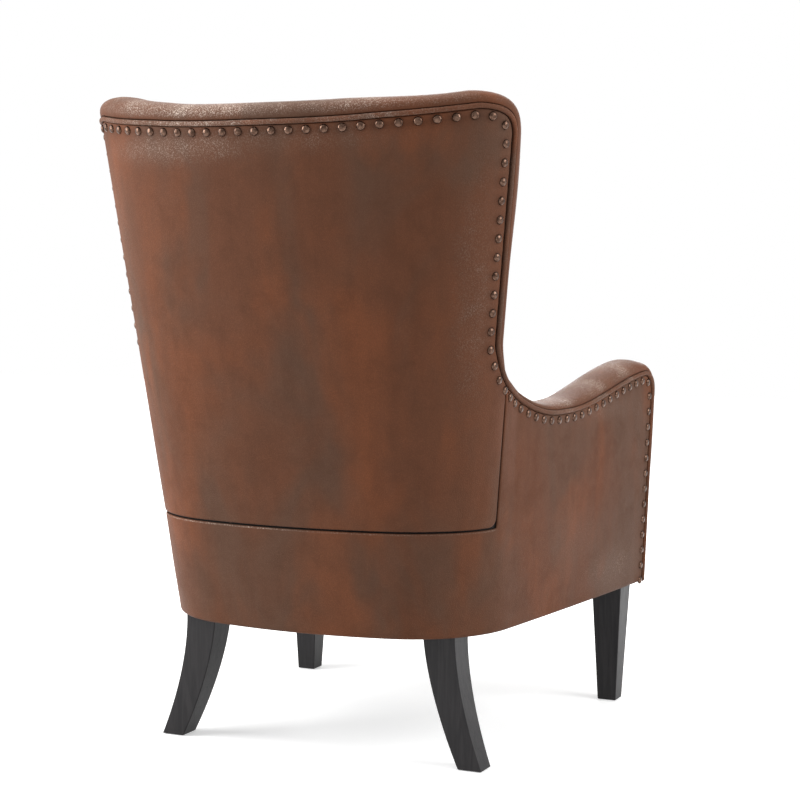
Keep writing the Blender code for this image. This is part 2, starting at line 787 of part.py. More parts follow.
def stud_row(name, path, parent, side=1.0):
    """Row of domed studs on a thin carrier strip along a line on the cover."""
    spots = stud_spots([(side * s, z) for s, z in path])
    frames = [shell_frame(s, z) for s, z in spots]
    near, far, faces = [], [], []
    angles = [math.radians(30.0 + 60.0 * k) for k in range(6)]

    def add(spot, normal, height):
        near.append(spot + normal * (LAYER_GAP + height))
        far.append(spot + normal * LAYER_GAP)

    for index, (place, normal) in enumerate(frames):
        before = frames[max(0, index - 1)][0]
        after = frames[min(len(frames) - 1, index + 1)][0]
        across = normal.cross(after - before).normalized()
        along = across.cross(normal)
        first = len(near)
        if index % 2:
            add(place + across * STUD_RADIUS / 2, normal, STUD_RIM)
            add(place - across * STUD_RADIUS / 2, normal, STUD_RIM)
            faces.append([first - 7, first - 2, first + 1, first])
            faces.append([first, first + 1, first + 5, first + 4])
            continue
        for angle in angles:
            reach = along * math.cos(angle) + across * math.sin(angle)
            add(place + reach * STUD_RADIUS, normal, STUD_RIM)
        add(place, normal, STUD_HEIGHT)
        faces += [[first + k, first + (k + 1) % 6, first + 6] for k in range(6)]
    shape = solid_between(near, far, faces)
    return add_solid(name, shape, "stud_metal", parent, smooth=False)


def welt(name, path, parent, side=1.0):
    """Piped edge along a line on the shell."""
    line = with_stations(thinned(path, WELT_FACET))
    points = [on_shell(side * s, z, COVER_THICKNESS - WELT_RADIUS) for s, z in line]
    return tube(name, points, WELT_RADIUS, WELT_SIDES, "hide", parent)


def build_back_unit(parent):
    """The upholstered back with its frame, webbing, pad, cover, welt, studs and buttons."""
    side, crest = back_half_line()
    rim = sampled(side, BACK_SIDE_STEPS) + sampled(crest, BACK_CREST_STEPS)[1:]
    rim = rim + mirrored(rim)[1:]

    inner_rim = shifted(rim, -RIM_INSET)
    inner_rim[0] = (inner_rim[0][0], BACK_BOTTOM)
    inner_rim[-1] = (inner_rim[-1][0], BACK_BOTTOM)
    grid = edge_grid(inner_rim, BACK_COLUMN_COUNT, BACK_ROW_COUNT)
    rim_ids = border_ids(BACK_COLUMN_COUNT, BACK_ROW_COUNT)

    rolls = []
    for s, z in rim:
        wing = LOW_ROLL + (WING_ROLL - LOW_ROLL) * above_crook(z)
        wing += (CORNER_ROLL - WING_ROLL) * smoothstep((z - WING_SWELL_LOW) / WING_SWELL_SPAN)
        aside = smoothstep((abs(s) - CREST_ROLL_HALF) / CREST_ROLL_BLEND)
        crest_roll = CREST_ROLL + (CORNER_ROLL - CREST_ROLL) * aside
        upper = smoothstep((z - crest_height(WING_EDGE) + 2 * WING_CORNER) / (2 * WING_CORNER))
        rolls.append(wing + (crest_roll - wing) * upper)

    tufts = []
    for row in TUFT_ROWS:
        wide = row != TUFT_ROWS[1]
        for column in TUFT_COLUMNS_WIDE if wide else TUFT_COLUMNS_NARROW:
            tufts.append(grid[row * (BACK_COLUMN_COUNT + 1) + column])

    def thickness(point):
        rise = (point[1] - BACK_BOTTOM) / (CREST_HEIGHT - BACK_BOTTOM)
        depth = BACK_PAD_DEPTH + BACK_CROWN * math.sin(math.pi * min(1.0, max(0.0, rise)))
        for tuft in tufts:
            away = math.dist(tuft, point) / TUFT_REACH
            depth -= TUFT_DEPTH * max(0.0, 1.0 - away) ** 2
        return depth

    layout = rolled_pad(
        rim, grid, BACK_COLUMN_COUNT, rim_ids, rolls, above_crook, BACK_ROLL_DEPTH, BACK_PAD_NEAR, thickness,
        BACK_EDGE_ROUND,
    )
    pad = build_pad("back_pad", layout, parent)
    build_buttons(pad, tufts, thickness, parent)

    build_back_cover(side[1], parent)

    line = joined(side[1:] + crest)
    full_line = line + mirrored(line)[1:]
    welt("back_welt", full_line, parent)
    stud_row("back_studs", shifted(full_line, -STUD_INSET), parent)
    build_back_frame(parent)


def build_back_cover(crook_line, parent):
    """Outside cover of the back: its full width below the crook, drawn in to the wings above it."""
    corner = shifted(wing_corner(BACK_COVER_CORNER_STEPS), -COVER_EDGE)
    crook = shifted(resample(crook_line, BACK_COVER_CROOK_STEPS), -COVER_EDGE)
    gap = BACK_GAP_S - UNIT_GAP / 2
    crook = [(gap, CROOK_LOW - COVER_EDGE)] + crook
    wing = crook[-1][0]
    half = columns(0.0, corner[-1][0])[1:] + [s for s, z in corner[:-1]]
    half += columns(corner[-1][0], corner[0][0])[1:-1]
    half = sorted(set(half)) + [s for s, z in sorted(crook)][1:]
    marks = [-s for s in reversed(half)] + [0.0] + half
    flat, faces = [], []
    rows = BACK_COVER_LOWER_STEPS + BACK_COVER_UPPER_STEPS
    for s in marks:
        reach = abs(s)
        middle = CROOK_HIGH if reach <= wing else height_on(crook, reach)
        top = crest_height(reach) - COVER_EDGE if reach < corner[-1][0] else height_on(corner, reach)
        for row in range(rows + 1):
            if row <= BACK_COVER_LOWER_STEPS:
                flat.append((s, BACK_BOTTOM + (middle - BACK_BOTTOM) * row / BACK_COVER_LOWER_STEPS))
            else:
                share = (row - BACK_COVER_LOWER_STEPS) / BACK_COVER_UPPER_STEPS
                flat.append((s, middle + (top - middle) * share))
    for index, (s0, s1) in enumerate(zip(marks, marks[1:])):
        narrow = abs(s0 + s1) / 2 < wing
        for row in range(rows if narrow else BACK_COVER_LOWER_STEPS):
            first = index * (rows + 1) + row
            faces.append([first, first + rows + 1, first + rows + 2, first + 1])
    add_solid("back_cover", shell_sheet(flat, 0.0, COVER_THICKNESS, faces), "hide", parent)


def edge_grid(rim, count_u, count_v):
    """Grid inside a rim that runs up the right side, along the top and down the left side."""
    right = rim[:count_v + 1]
    top = rim[count_v:count_v + count_u + 1][::-1]
    left = rim[count_v + count_u:][::-1]
    a, b = left[0], right[0]
    bottom = []
    for u in range(count_u + 1):
        t = u / count_u
        bottom.append((a[0] + (b[0] - a[0]) * t, a[1] + (b[1] - a[1]) * t))
    return coons(bottom, right, top, left)


def border_ids(count_u, count_v):
    """Grid points up the right side, along the top and down the left side, in order."""
    wide = count_u + 1
    right = [v * wide + count_u for v in range(count_v + 1)]
    top = [count_v * wide + u for u in range(count_u - 1, -1, -1)]
    left = [v * wide for v in range(count_v - 1, -1, -1)]
    return right + top + left


def build_buttons(pad, tufts, thickness, parent):
    """Covered buttons, each seated in its tuft on the sitting side of the back pad."""
    tree = BVHTree.FromPolygons(
        [pad.matrix_world @ vert.co + parent.location for vert in pad.data.vertices],
        [list(face.vertices) for face in pad.data.polygons],
    )
    for index, (s, z) in enumerate(tufts, start=1):
        outward = on_shell(s, z, 0.0) - on_shell(s, z, 1.0)
        inward = -outward.normalized()
        seat = on_shell(s, z, thickness((s, z)))
        across = inward.orthogonal().normalized()
        other = inward.cross(across)
        lift = 0.0
        for step in range(4 * BUTTON_SIDES):
            angle = 2 * math.pi * step / (4 * BUTTON_SIDES)
            spoke = across * math.cos(angle) + other * math.sin(angle)
            start = seat + spoke * BUTTON_RADIUS + inward * BUTTON_RADIUS * 4
            hit = tree.ray_cast(start, -inward)[0]
            if hit:
                lift = max(lift, (hit - seat).dot(inward))
        profile = (
            (BUTTON_RADIUS, 0.0),
            (BUTTON_RADIUS, BUTTON_HEIGHT * 0.35),
            (BUTTON_RADIUS * 0.72, BUTTON_HEIGHT * 0.80),
            (BUTTON_RADIUS * 0.30, BUTTON_HEIGHT),
        )
        place = seat + inward * (lift + TOUCH)
        turned("tuft_button_%d" % index, place, profile, BUTTON_SIDES, "hide", parent, inward)


def build_back_frame(parent):
    """Timber frame of the back, its webbing and its hook brackets."""
    post_outer = WING_EDGE - FRAME_INSET
    post_inner = post_outer - POST_WIDTH
    rail_end = post_outer - POST_WIDTH / 2

    def rail_low(s):
        return crest_height(s) - FRAME_INSET - TOP_RAIL_HEIGHT

    def rail_high(s):
        return crest_height(s) - FRAME_INSET

    near, far = FRAME_DEPTH, BACK_FRAME_FAR
    rail_marks = columns(-rail_end, rail_end)
    rail_line = [(s, rail_low(s)) for s in rail_marks]
    shell_block("back_top_rail", rail_marks, rail_low, rail_high, near, far, "frame_wood", parent)

    def post_high(s):
        return height_on(rail_line, s) - TOUCH

    inner_end = post_inner - TOUCH
    rail_top = BACK_FRAME_BOTTOM + BOTTOM_RAIL_HEIGHT
    shell_block("back_bottom_rail", columns(-inner_end, inner_end), BACK_FRAME_BOTTOM, rail_top, near,
                far, "frame_wood", parent)
    for label, side in (("right", -1.0), ("left", 1.0)):
        marks = sorted([side * mark for mark in columns(post_inner, post_outer)])
        shell_block("wing_post_" + label, marks, BACK_FRAME_BOTTOM, post_high, near, far, "frame_wood",
                    parent, rows=POST_ROW_COUNT)
        build_back_hook(label, side, post_outer, parent)
    build_webbing(post_inner, rail_top, parent)


def build_webbing(post_inner, rail_top, parent):
    """Upright straps from rail to rail, joined by one strap across the posts."""
    straps = [WEB_PITCH * (k - (WEB_COUNT - 1) / 2) for k in range(WEB_COUNT)]
    edges = []
    for strap in straps:
        edges += columns(strap - WEB_WIDTH / 2, strap + WEB_WIDTH / 2)
    reach = post_inner + POST_WIDTH / 2
    for low, high in zip([-reach] + edges, edges + [reach]):
        edges = edges + columns(low, high)
    marks = sorted(set(edges))
    low = rail_top - BOTTOM_RAIL_HEIGHT / 2
    flat = []
    for s in marks:
        high = crest_height(s) - FRAME_INSET - TOP_RAIL_HEIGHT / 2
        flat.append([(s, low), (s, WEB_WAIST), (s, WEB_WAIST + WEB_WIDTH), (s, high)])
    points = [spot for column in flat for spot in column]
    faces = []
    for index, (s0, s1) in enumerate(zip(marks, marks[1:])):
        middle = (s0 + s1) / 2
        upright = any(abs(middle - strap) < WEB_WIDTH / 2 for strap in straps)
        for row in (0, 1, 2) if upright else (1,):
            first = index * 4 + row
            faces.append([first, first + 4, first + 5, first + 1])
    shape = shell_sheet(points, WEB_NEAR, WEB_NEAR + WEB_THICKNESS, faces)
    add_solid("back_webbing", shape, "webbing", parent, smooth=False)


def build_hook(name, plate, lug, heights, side, parent):
    """Bracket of one plate with one lug: plate and lug are s ranges, heights are three z marks.

    The lug lies between the second and third mark on the back's bracket, where plate comes first,
    and between the first and second mark on the arm's bracket, where lug comes first.
    """
    marks = [plate[0], plate[1], lug[1]] if plate[0] < lug[0] else [lug[0], plate[0], plate[1]]
    flat = [(side * s, z) for z in heights for s in marks]
    quads = grid_faces(2, 2)
    kept = [quads[0], quads[2], quads[3]] if plate[0] < lug[0] else [quads[0], quads[1], quads[3]]
    add_solid(name, shell_sheet(flat, BRACKET_NEAR, BRACKET_FAR, kept), "steel", parent, smooth=False)


def build_back_hook(label, side, post_outer, parent):
    """The back unit's hook, which hangs on the hook of the arm beside it."""
    plate = (post_outer + TOUCH, post_outer + TOUCH + BRACKET_PLATE)
    lug = (plate[1], BACK_GAP_S + UNIT_GAP / 2 - TOUCH)
    heights = (BRACKET_LOW, BRACKET_MEET + TOUCH, BRACKET_HIGH)
    build_hook("back_hook_" + label, plate, lug, heights, side, parent)


def build_arm(label, side, parent):
    """One arm: plywood panel, hook, pad, welt and studs."""
    rear = ARM_REAR_S
    front_edge, top_edge = arm_line_path(ARM_PAD_BOTTOM, rear)
    rim = sampled(front_edge, ARM_FRONT_STEPS) + sampled(top_edge, ARM_TOP_STEPS)[1:]
    inner = shifted(rim, -RIM_INSET)
    inner[0] = (inner[0][0], ARM_PAD_BOTTOM)
    inner[-1] = (rear, inner[-1][1])
    end_s, end_z = inner[-1]
    drop = (ARM_PAD_BOTTOM - end_z) / ARM_ROW_COUNT
    left = [(end_s, end_z + drop * k) for k in range(1, ARM_ROW_COUNT + 1)]
    grid = edge_grid(inner + left, ARM_COLUMN_COUNT, ARM_ROW_COUNT)
    rim_ids = border_ids(ARM_COLUMN_COUNT, ARM_ROW_COUNT)[:len(rim)]

    rolls = []
    for s, z in rim:
        upper = smoothstep((SHELL_END - s - ARM_ROLL_START) / ARM_ROLL_BLEND)
        roll = ARM_FRONT_ROLL + (ARM_ROLL - ARM_FRONT_ROLL) * upper
        swell = smoothstep((z - ARM_SWELL_LOW) / ARM_SWELL_SPAN)
        roll += ARM_FRONT_SWELL * swell * (1.0 - smoothstep((SHELL_END - s) / ARM_SWELL_FADE))
        ahead = smoothstep((s - rear) / ARM_REAR_TAPER)
        rolls.append(ARM_REAR_ROLL + (roll - ARM_REAR_ROLL) * ahead)

    def thickness(point):
        rise = (point[1] - ARM_PAD_BOTTOM) / (ARM_DIP_HEIGHT - ARM_PAD_BOTTOM)
        return ARM_PAD_DEPTH + ARM_CROWN * math.sin(math.pi * min(1.0, max(0.0, rise)))

    layout = rolled_pad(
        rim, grid, ARM_COLUMN_COUNT, rim_ids, rolls, lambda z: 1.0, ARM_ROLL_DEPTH, ARM_PAD_NEAR, thickness,
        ARM_EDGE_ROUND,
    )
    build_pad("arm_pad_" + label, layout, parent, side)

    panel_start = rear + BRACKET_PLATE + 2 * TOUCH
    edge = shifted(rim, -FRAME_INSET)[ARM_FRONT_STEPS[0]:]
    marks = columns(panel_start, SHELL_END - ARM_CORNER)
    marks += [s for s, z in edge if s > marks[-1] + RIM_STEP]
    marks = sorted([side * mark for mark in marks])
    shell_block("arm_panel_" + label, marks, RAIL_TOP + TOUCH, lambda s: height_on(edge, abs(s)),
                FRAME_DEPTH, RAIL_FAR, "panel_wood", parent, rows=PANEL_ROW_COUNT)
    plate = (rear, rear + BRACKET_PLATE)
    lug = (WING_EDGE - FRAME_INSET + BRACKET_PLATE + 2 * TOUCH, plate[0])
    build_hook("arm_hook_" + label, plate, lug, (BRACKET_LOW, BRACKET_MEET, BRACKET_HIGH), side, parent)

    low_front, low_top = arm_line_path(BASE_BOTTOM + WELT_RADIUS, rear)
    line = joined(low_front + low_top)
    welt("arm_welt_" + label, line, parent, side)
    stud_row("arm_studs_" + label, shifted(line, -STUD_INSET), parent, side)


def build_outside_cover(parent):
    """Cover that wraps the base's rear band and both outside arms in one piece."""
    start = BACK_GAP_S + UNIT_GAP / 2
    outer = columns(start, SHELL_END - ARM_CORNER) + arm_corner(COVER_EDGE, ARM_COVER_CORNER_STEPS)
    inner = columns(-start, start)
    marks = [-s for s in reversed(outer)] + inner[1:-1] + outer
    lower = (BASE_BOTTOM, (BASE_BOTTOM + BASE_COVER_TOP) / 2, BASE_COVER_TOP)
    flat, faces = [], []
    rows = len(lower) + ARM_COVER_ROW_COUNT
    for s in marks:
        top = max(BASE_COVER_TOP, arm_top(max(abs(s), start), COVER_EDGE))
        step = (top - BASE_COVER_TOP) / ARM_COVER_ROW_COUNT
        flat += [(s, z) for z in lower]
        flat += [(s, BASE_COVER_TOP + step * k) for k in range(1, ARM_COVER_ROW_COUNT + 1)]
    for index, (s0, s1) in enumerate(zip(marks, marks[1:])):
        band = abs(s0 + s1) / 2 < start
        for row in range(len(lower) - 1 if band else rows - 1):
            first = index * rows + row
            faces.append([first, first + rows, first + rows + 1, first + 1])
    add_solid("outside_cover", shell_sheet(flat, 0.0, COVER_THICKNESS, faces), "hide", parent)


def build_base_frame(parent):
    """Rails and corner blocks of the base; the blocks are bored for the leg bolts."""
    far = FRAME_DEPTH + REAR_RAIL_THICKNESS
    end = REAR_RAIL_HALF - TOUCH
    shell_block("rear_rail", columns(-end, end), RAIL_BOTTOM, REAR_RAIL_TOP, FRAME_DEPTH, far, "frame_wood",
                parent, rows=RAIL_ROW_COUNT)
    rail_front = FRONT_POINT.y - WELT_RADIUS
    rail_back = rail_front + FRONT_RAIL_THICKNESS
    half = FRONT_POINT.x - WELT_RADIUS - COVER_THICKNESS
    outline = [(-half, rail_front), (half, rail_front), (half, rail_back), (-half, rail_back)]
    prism("front_rail", outline, RAIL_BOTTOM, RAIL_TOP, "frame_wood", parent)
    for label, side in (("right", -1.0), ("left", 1.0)):
        marks = sorted([side * mark for mark in columns(SIDE_RAIL_START, behind_front_rail(RAIL_FAR))])
        shell_block("side_rail_" + label, marks, RAIL_BOTTOM, RAIL_TOP, FRAME_DEPTH, RAIL_FAR, "frame_wood",
                    parent)
        marks = sorted([side * mark for mark in columns(REAR_RAIL_HALF, SIDE_RAIL_START - TOUCH)])
        block = shell_block("rear_block_" + label, marks, RAIL_BOTTOM, BLOCK_TOP, FRAME_DEPTH,
                            REAR_BLOCK_DEPTH, "frame_wood", parent, rows=RAIL_ROW_COUNT)
        bore(block, bolt_place(REAR_LEG_TOP, side, 0.0), RAIL_BOTTOM, RAIL_BOTTOM + BOLT_IN_BLOCK, parent)
        block_end = behind_front_rail(FRONT_BLOCK_DEPTH)
        marks = sorted([side * mark for mark in columns(FRONT_BLOCK_START, block_end)])
        block = shell_block("front_block_" + label, marks, RAIL_BOTTOM, BLOCK_TOP, RAIL_FAR + TOUCH,
                            FRONT_BLOCK_DEPTH, "frame_wood", parent)
        spot = bolt_place(FRONT_LEG_TOP, side, FRONT_BOLT_INBOARD)
        bore(block, spot, RAIL_BOTTOM, RAIL_BOTTOM + BOLT_IN_BLOCK, parent)


def behind_front_rail(depth):
    """Place along s where a piece of one depth ends just behind the front rail."""
    clear = FRONT_RAIL_THICKNESS - WELT_RADIUS + LAYER_GAP
    return SHELL_END - clear / math.cos(SIDE_SPLAY_FRONT) - depth * math.tan(SIDE_SPLAY_FRONT)


def bolt_place(leg_top, side, inboard):
    """Plan position of a leg's bolt."""
    return Vector((side * (leg_top[0] - inboard), leg_top[1], 0.0))


def bore(item, spot, low, high, parent):
    """Cut a round bolt hole between two heights, running a little past the lower face."""
    radius = BOLT_RADIUS + BOLT_CLEAR
    past = 2 * BOLT_RADIUS
    profile = ((radius, low - past), (radius, high + BOLT_CLEAR))
    cutter = turned(item.name + "_bore", spot, profile, BOLT_SIDES, "steel", parent)
    cutter.hide_render = True
    cutter.display_type = "WIRE"
    cut = item.modifiers.new("bolt_bore", "BOOLEAN")
    cut.object = cutter
    cut.operation = "DIFFERENCE"
    cut.solver = "EXACT"


def build_leg(label, side, foot, top, foot_half, steps, inboard, power, parent):
    """One square leg with its bolt and glide; the section stays square to the chair."""
    shape = bmesh.new()
    rings = []
    low = GLIDE_HEIGHT + TOUCH
    for step in range(steps + 1):
        t = step / steps
        out = (1.0 - t) ** power
        half = LEG_TOP_HALF + (foot_half - LEG_TOP_HALF) * (1.0 - t)
        x = side * (top[0] + (foot[0] - top[0]) * out)
        y = top[1] + (foot[1] - top[1]) * out
        z = low + (LEG_TOP - low) * t
        corners = ((-1, -1), (1, -1), (1, 1), (-1, 1))
        rings.append([shape.verts.new((x + half * a, y + half * b, z)) for a, b in corners])
    for lower, upper in zip(rings, rings[1:]):
        for k in range(4):
            after = (k + 1) % 4
            shape.faces.new([lower[k], lower[after], upper[after], upper[k]])
    shape.faces.new(rings[0][::-1])
    shape.faces.new(rings[-1])
    leg = add_solid("leg_" + label, shape, "leg_wood", parent)
    edge = leg.modifiers.new("eased_edges", "BEVEL")
    edge.width = LEG_EDGE
    edge.segments = 1
    edge.limit_method = "ANGLE"
    edge.angle_limit = math.radians(50.0)
    spot = bolt_place(top, side, inboard)
    bore_up(leg, spot, parent)
    profile = ((BOLT_RADIUS, LEG_TOP - BOLT_IN_LEG), (BOLT_RADIUS, RAIL_BOTTOM + BOLT_IN_BLOCK))
    turned("leg_bolt_" + label, spot, profile, BOLT_SIDES, "steel", parent)
    glide = ((GLIDE_RADIUS * 0.8, 0.0), (GLIDE_RADIUS, GLIDE_HEIGHT * 0.4), (GLIDE_RADIUS, GLIDE_HEIGHT))
    under = Vector((side * foot[0], foot[1], 0.0))
    turned("glide_" + label, under, glide, GLIDE_SIDES, "glide_nylon", parent)


def bore_up(leg, spot, parent):
    """Cut the bolt hole down into a leg's top."""
    radius = BOLT_RADIUS + BOLT_CLEAR
    profile = ((radius, LEG_TOP - BOLT_IN_LEG - BOLT_CLEAR), (radius, LEG_TOP + 2 * BOLT_RADIUS))
    cutter = turned(leg.name + "_bore", spot, profile, BOLT_SIDES, "steel", parent)
    cutter.hide_render = True
    cutter.display_type = "WIRE"
    cut = leg.modifiers.new("bolt_bore", "BOOLEAN")
    cut.object = cutter
    cut.operation = "DIFFERENCE"
    cut.solver = "EXACT"


def sitting_depth(s):
    """Depth of the seat's edge inside the shell: behind the arm pads and before the back pad."""
    arm = ARM_PAD_DEPTH + ARM_CROWN + CUSHION_CLEAR
    back = BACK_PAD_DEPTH + BACK_CROWN + CUSHION_CLEAR
    blend = smoothstep((abs(s) - BACK_GAP_S + SEAT_BLEND_BEHIND) / SEAT_BLEND)
    return back + (arm - back) * blend


def seat_outline(height, inset, front, front_bow):
    """Plan of the seat between the arms, the back and a front line, from right to left."""
    marks = columns(-SHELL_END + CUSHION_FRONT_INSET, SHELL_END - CUSHION_FRONT_INSET)[::2]
    outline = []
    for s in marks:
        point = on_shell(s, height, sitting_depth(s) + inset)
        outline.append((point.x, point.y))
    width = outline[-1][0] - outline[0][0]
    for k in range(1, SEAT_FRONT_STEPS):
        t = k / SEAT_FRONT_STEPS
        bow = front_bow * 4 * t * (1 - t)
        outline.append((outline[len(marks) - 1][0] - width * t, front - bow))
    outline[0] = (outline[0][0], front)
    outline[len(marks) - 1] = (outline[len(marks) - 1][0], front)
    return outline


def build_seat(base, lift):
    """Springs, deck and the loose cushion that lifts out."""
    front = FRONT_POINT.y
    half = (SPRING_COUNT - 1) / 2
    for index in range(SPRING_COUNT):
        x = SPRING_PITCH * (index - half)
        build_spring("seat_spring_%d" % (index + 1), x, front, base)
    deck = seat_outline(DECK_TOP, CUSHION_CLEAR, front, 0.0)
    prism("seat_deck", deck, DECK_BOTTOM, DECK_TOP, "deck_cloth", base)
    build_cushion(lift)


def build_spring(name, x, front, parent):
    """Zigzag seat spring from the top of the front rail to the inner face of the rear rail."""
    start = front + FRONT_RAIL_THICKNESS / 2
    behind = rear_rail_face(x) - TOUCH - SPRING_WIRE
    waves = round((behind - start) / SPRING_WAVE)
    points = [Vector((x, start, SPRING_HEIGHT))]
    for k in range(1, 2 * waves):
        swing = SPRING_SWING if k % 2 else -SPRING_SWING
        reach = start + (behind - start) * k / (2 * waves)
        points.append(Vector((x + swing, reach, SPRING_HEIGHT)))
    points.append(Vector((x, behind, SPRING_HEIGHT)))
    tube(name, points, SPRING_WIRE, 4, "steel", parent)


def rear_rail_face(x):
    """Front-to-back place of the rear rail's inner face at a distance from the centre line."""
    far = FRAME_DEPTH + REAR_RAIL_THICKNESS
    low, high = 0.0, REAR_RAIL_HALF
    for _ in range(40):
        middle = (low + high) / 2
        if on_shell(middle, SPRING_HEIGHT, far).x < abs(x) + SPRING_WIRE:
            low = middle
        else:
            high = middle
    return on_shell(low, SPRING_HEIGHT, far).y


def build_cushion(parent):
    """Loose boxed cushion: crowned top and bottom edges, with its sides drawn in."""
    middle = (CUSHION_BOTTOM + CUSHION_EDGE_TOP) / 2
    plan = seat_outline(CUSHION_BOTTOM, CUSHION_CLEAR, FRONT_POINT.y, CUSHION_FRONT_BOW)
    outline = [Vector((x, y)) for x, y in plan]
    centre = sum(outline, Vector((0.0, 0.0))) / len(outline)
    shape = bmesh.new()

    def ring(scale, height):
        verts = []
        for point in outline:
            spot = centre + (point - centre) * scale
            verts.append(shape.verts.new((spot.x, spot.y, height)))
        return verts

    draw = 1.0 - CUSHION_DRAW / CUSHION_THICKNESS
    swell = CUSHION_BULGE
    rings = [ring(scale, CUSHION_BOTTOM) for scale in CUSHION_BASE_RINGS]
    rings += [
        ring(draw, CUSHION_BOTTOM + swell),
        ring(1.0, CUSHION_BOTTOM + 3 * swell),
        ring(1.0 - CUSHION_DRAW, middle),
        ring(1.0, CUSHION_EDGE_TOP - 2 * swell),
        ring(draw, CUSHION_EDGE_TOP),
    ]
    rings += [ring(scale, CUSHION_EDGE_TOP + CUSHION_CROWN * rise) for scale, rise in CUSHION_CROWN_RINGS]
    count = len(outline)
    for lower, upper in zip(rings, rings[1:]):
        for k in range(count):
            after = (k + 1) % count
            shape.faces.new([lower[k], lower[after], upper[after], upper[k]])
    bmesh.ops.triangulate(shape, faces=[shape.faces.new(rings[0][::-1]), shape.faces.new(rings[-1])])
    add_solid("seat_cushion", shape, "hide", parent)


def build_apron(parent):
    """Padded front border below the seat, across the whole front."""
    back = FRONT_POINT.y - WELT_RADIUS - TOUCH
    near, far = [], []
    low, high = BASE_BOTTOM, ARM_PAD_BOTTOM - APRON_TOP_GAP
    for row in range(APRON_ROW_COUNT + 1):
        fz = row / APRON_ROW_COUNT
        z = low + (high - low) * fz
        half = FRONT_POINT.x + SIDE_LEAN * (z - BASE_BOTTOM)
        for column in range(APRON_COLUMN_COUNT + 1):
            fx = column / APRON_COLUMN_COUNT
            crown = APRON_CROWN * quarter(4 * fx * (1 - fx)) * quarter(4 * fz * (1 - fz))
            x = half * (2 * fx - 1)
            near.append(Vector((x, back, z)))
            far.append(Vector((x, back - APRON_THICKNESS - crown, z)))
    shape = solid_between(near, far, grid_faces(APRON_COLUMN_COUNT, APRON_ROW_COUNT))
    add_solid("front_apron", shape, "hide", parent)


def build_dust_cover(parent):
    """Thin cloth under the rails, cut out around the legs."""
    top = RAIL_BOTTOM - TOUCH
    low = top - DUST_COVER_THICKNESS
    end = SHELL_END - FRONT_RAIL_THICKNESS
    outline = []
    for s in columns(-end, end):
        point = on_shell(s, BASE_BOTTOM, FRAME_DEPTH + LAYER_GAP)
        outline.append((point.x, point.y))
    cover = prism("dust_cover", outline, low, top, "dust_cloth", parent)
    half = LEG_TOP_HALF + LAYER_GAP
    for label, (x, y) in (("rear", REAR_LEG_TOP), ("front", FRONT_LEG_TOP)):
        for side in (-1.0, 1.0):
            corners = [(-half, -half), (half, -half), (half, half), (-half, half)]
            square = [(side * x + a, y + b) for a, b in corners]
            cutter = prism("dust_cut_%s_%d" % (label, side > 0), square, low - half, top + half, "dust_cloth",
                           parent)
            cutter.hide_render = True
            cutter.display_type = "WIRE"
            cut = cover.modifiers.new("leg_opening", "BOOLEAN")
            cut.object = cutter
            cut.operation = "DIFFERENCE"
            cut.solver = "EXACT"


def build_chair():
    """Build every piece of the chair."""
    clear_scene()
    base = add_empty("base_unit")
    back = add_empty("back_unit", parent=base)
    lift = add_empty("cushion_lift", (0.0, 0.0, CUSHION_BOTTOM), base)
    build_base_frame(base)
    for label, side in (("right", -1.0), ("left", 1.0)):
        build_arm(label, side, base)
        build_leg("rear_" + label, side, REAR_FOOT, REAR_LEG_TOP, REAR_FOOT_HALF, REAR_LEG_STEPS, 0.0,
                  SABRE_POWER, base)
        build_leg("front_" + label, side, FRONT_FOOT, FRONT_LEG_TOP, FRONT_FOOT_HALF, FRONT_LEG_STEPS,
                  FRONT_BOLT_INBOARD, 1.0, base)
    build_outside_cover(base)
    build_apron(base)
    build_dust_cover(base)
    build_seat(base, lift)
    build_back_unit(back)


build_chair()
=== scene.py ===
"""Looks of the high-backed club chair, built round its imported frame.

The upholstery is laid out in shell coordinates: s runs along the shell's lower edge from the
centre of the back, positive towards +X, z is the height above the floor, and depth is measured
inwards from the outside face. The front is -Y, the sitter's right is -X. Sizes are in metres.
"""
import logging
import math
from dataclasses import dataclass
from enum import Enum
from typing import Callable, Optional, Sequence, Union

import bmesh
import bpy
import numpy as np
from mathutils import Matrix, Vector, noise
from mathutils.bvhtree import BVHTree


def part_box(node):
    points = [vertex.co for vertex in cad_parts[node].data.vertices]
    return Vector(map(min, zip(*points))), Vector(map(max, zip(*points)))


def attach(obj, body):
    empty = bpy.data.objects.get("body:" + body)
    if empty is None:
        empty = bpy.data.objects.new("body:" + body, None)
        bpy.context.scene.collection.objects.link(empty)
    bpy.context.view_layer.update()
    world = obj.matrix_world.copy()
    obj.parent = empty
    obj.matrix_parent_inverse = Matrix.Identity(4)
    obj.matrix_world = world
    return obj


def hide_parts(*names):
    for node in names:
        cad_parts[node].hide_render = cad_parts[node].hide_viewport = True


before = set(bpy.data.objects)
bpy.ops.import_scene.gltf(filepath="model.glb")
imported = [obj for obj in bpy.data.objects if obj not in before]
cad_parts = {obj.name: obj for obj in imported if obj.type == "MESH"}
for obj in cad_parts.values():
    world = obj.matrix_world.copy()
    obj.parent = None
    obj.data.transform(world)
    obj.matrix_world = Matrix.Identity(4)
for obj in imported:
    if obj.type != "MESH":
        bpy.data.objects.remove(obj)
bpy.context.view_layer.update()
LOG = logging.getLogger("club_chair")

Array = np.ndarray
Faces = list[list[int]]
Shape = tuple[Array, Faces]
Colour = tuple[float, float, float]
Piece = bpy.types.Object
Material = bpy.types.Material
Node = bpy.types.Node
Socket = bpy.types.NodeSocket
Feed = Union[float, tuple, Socket]

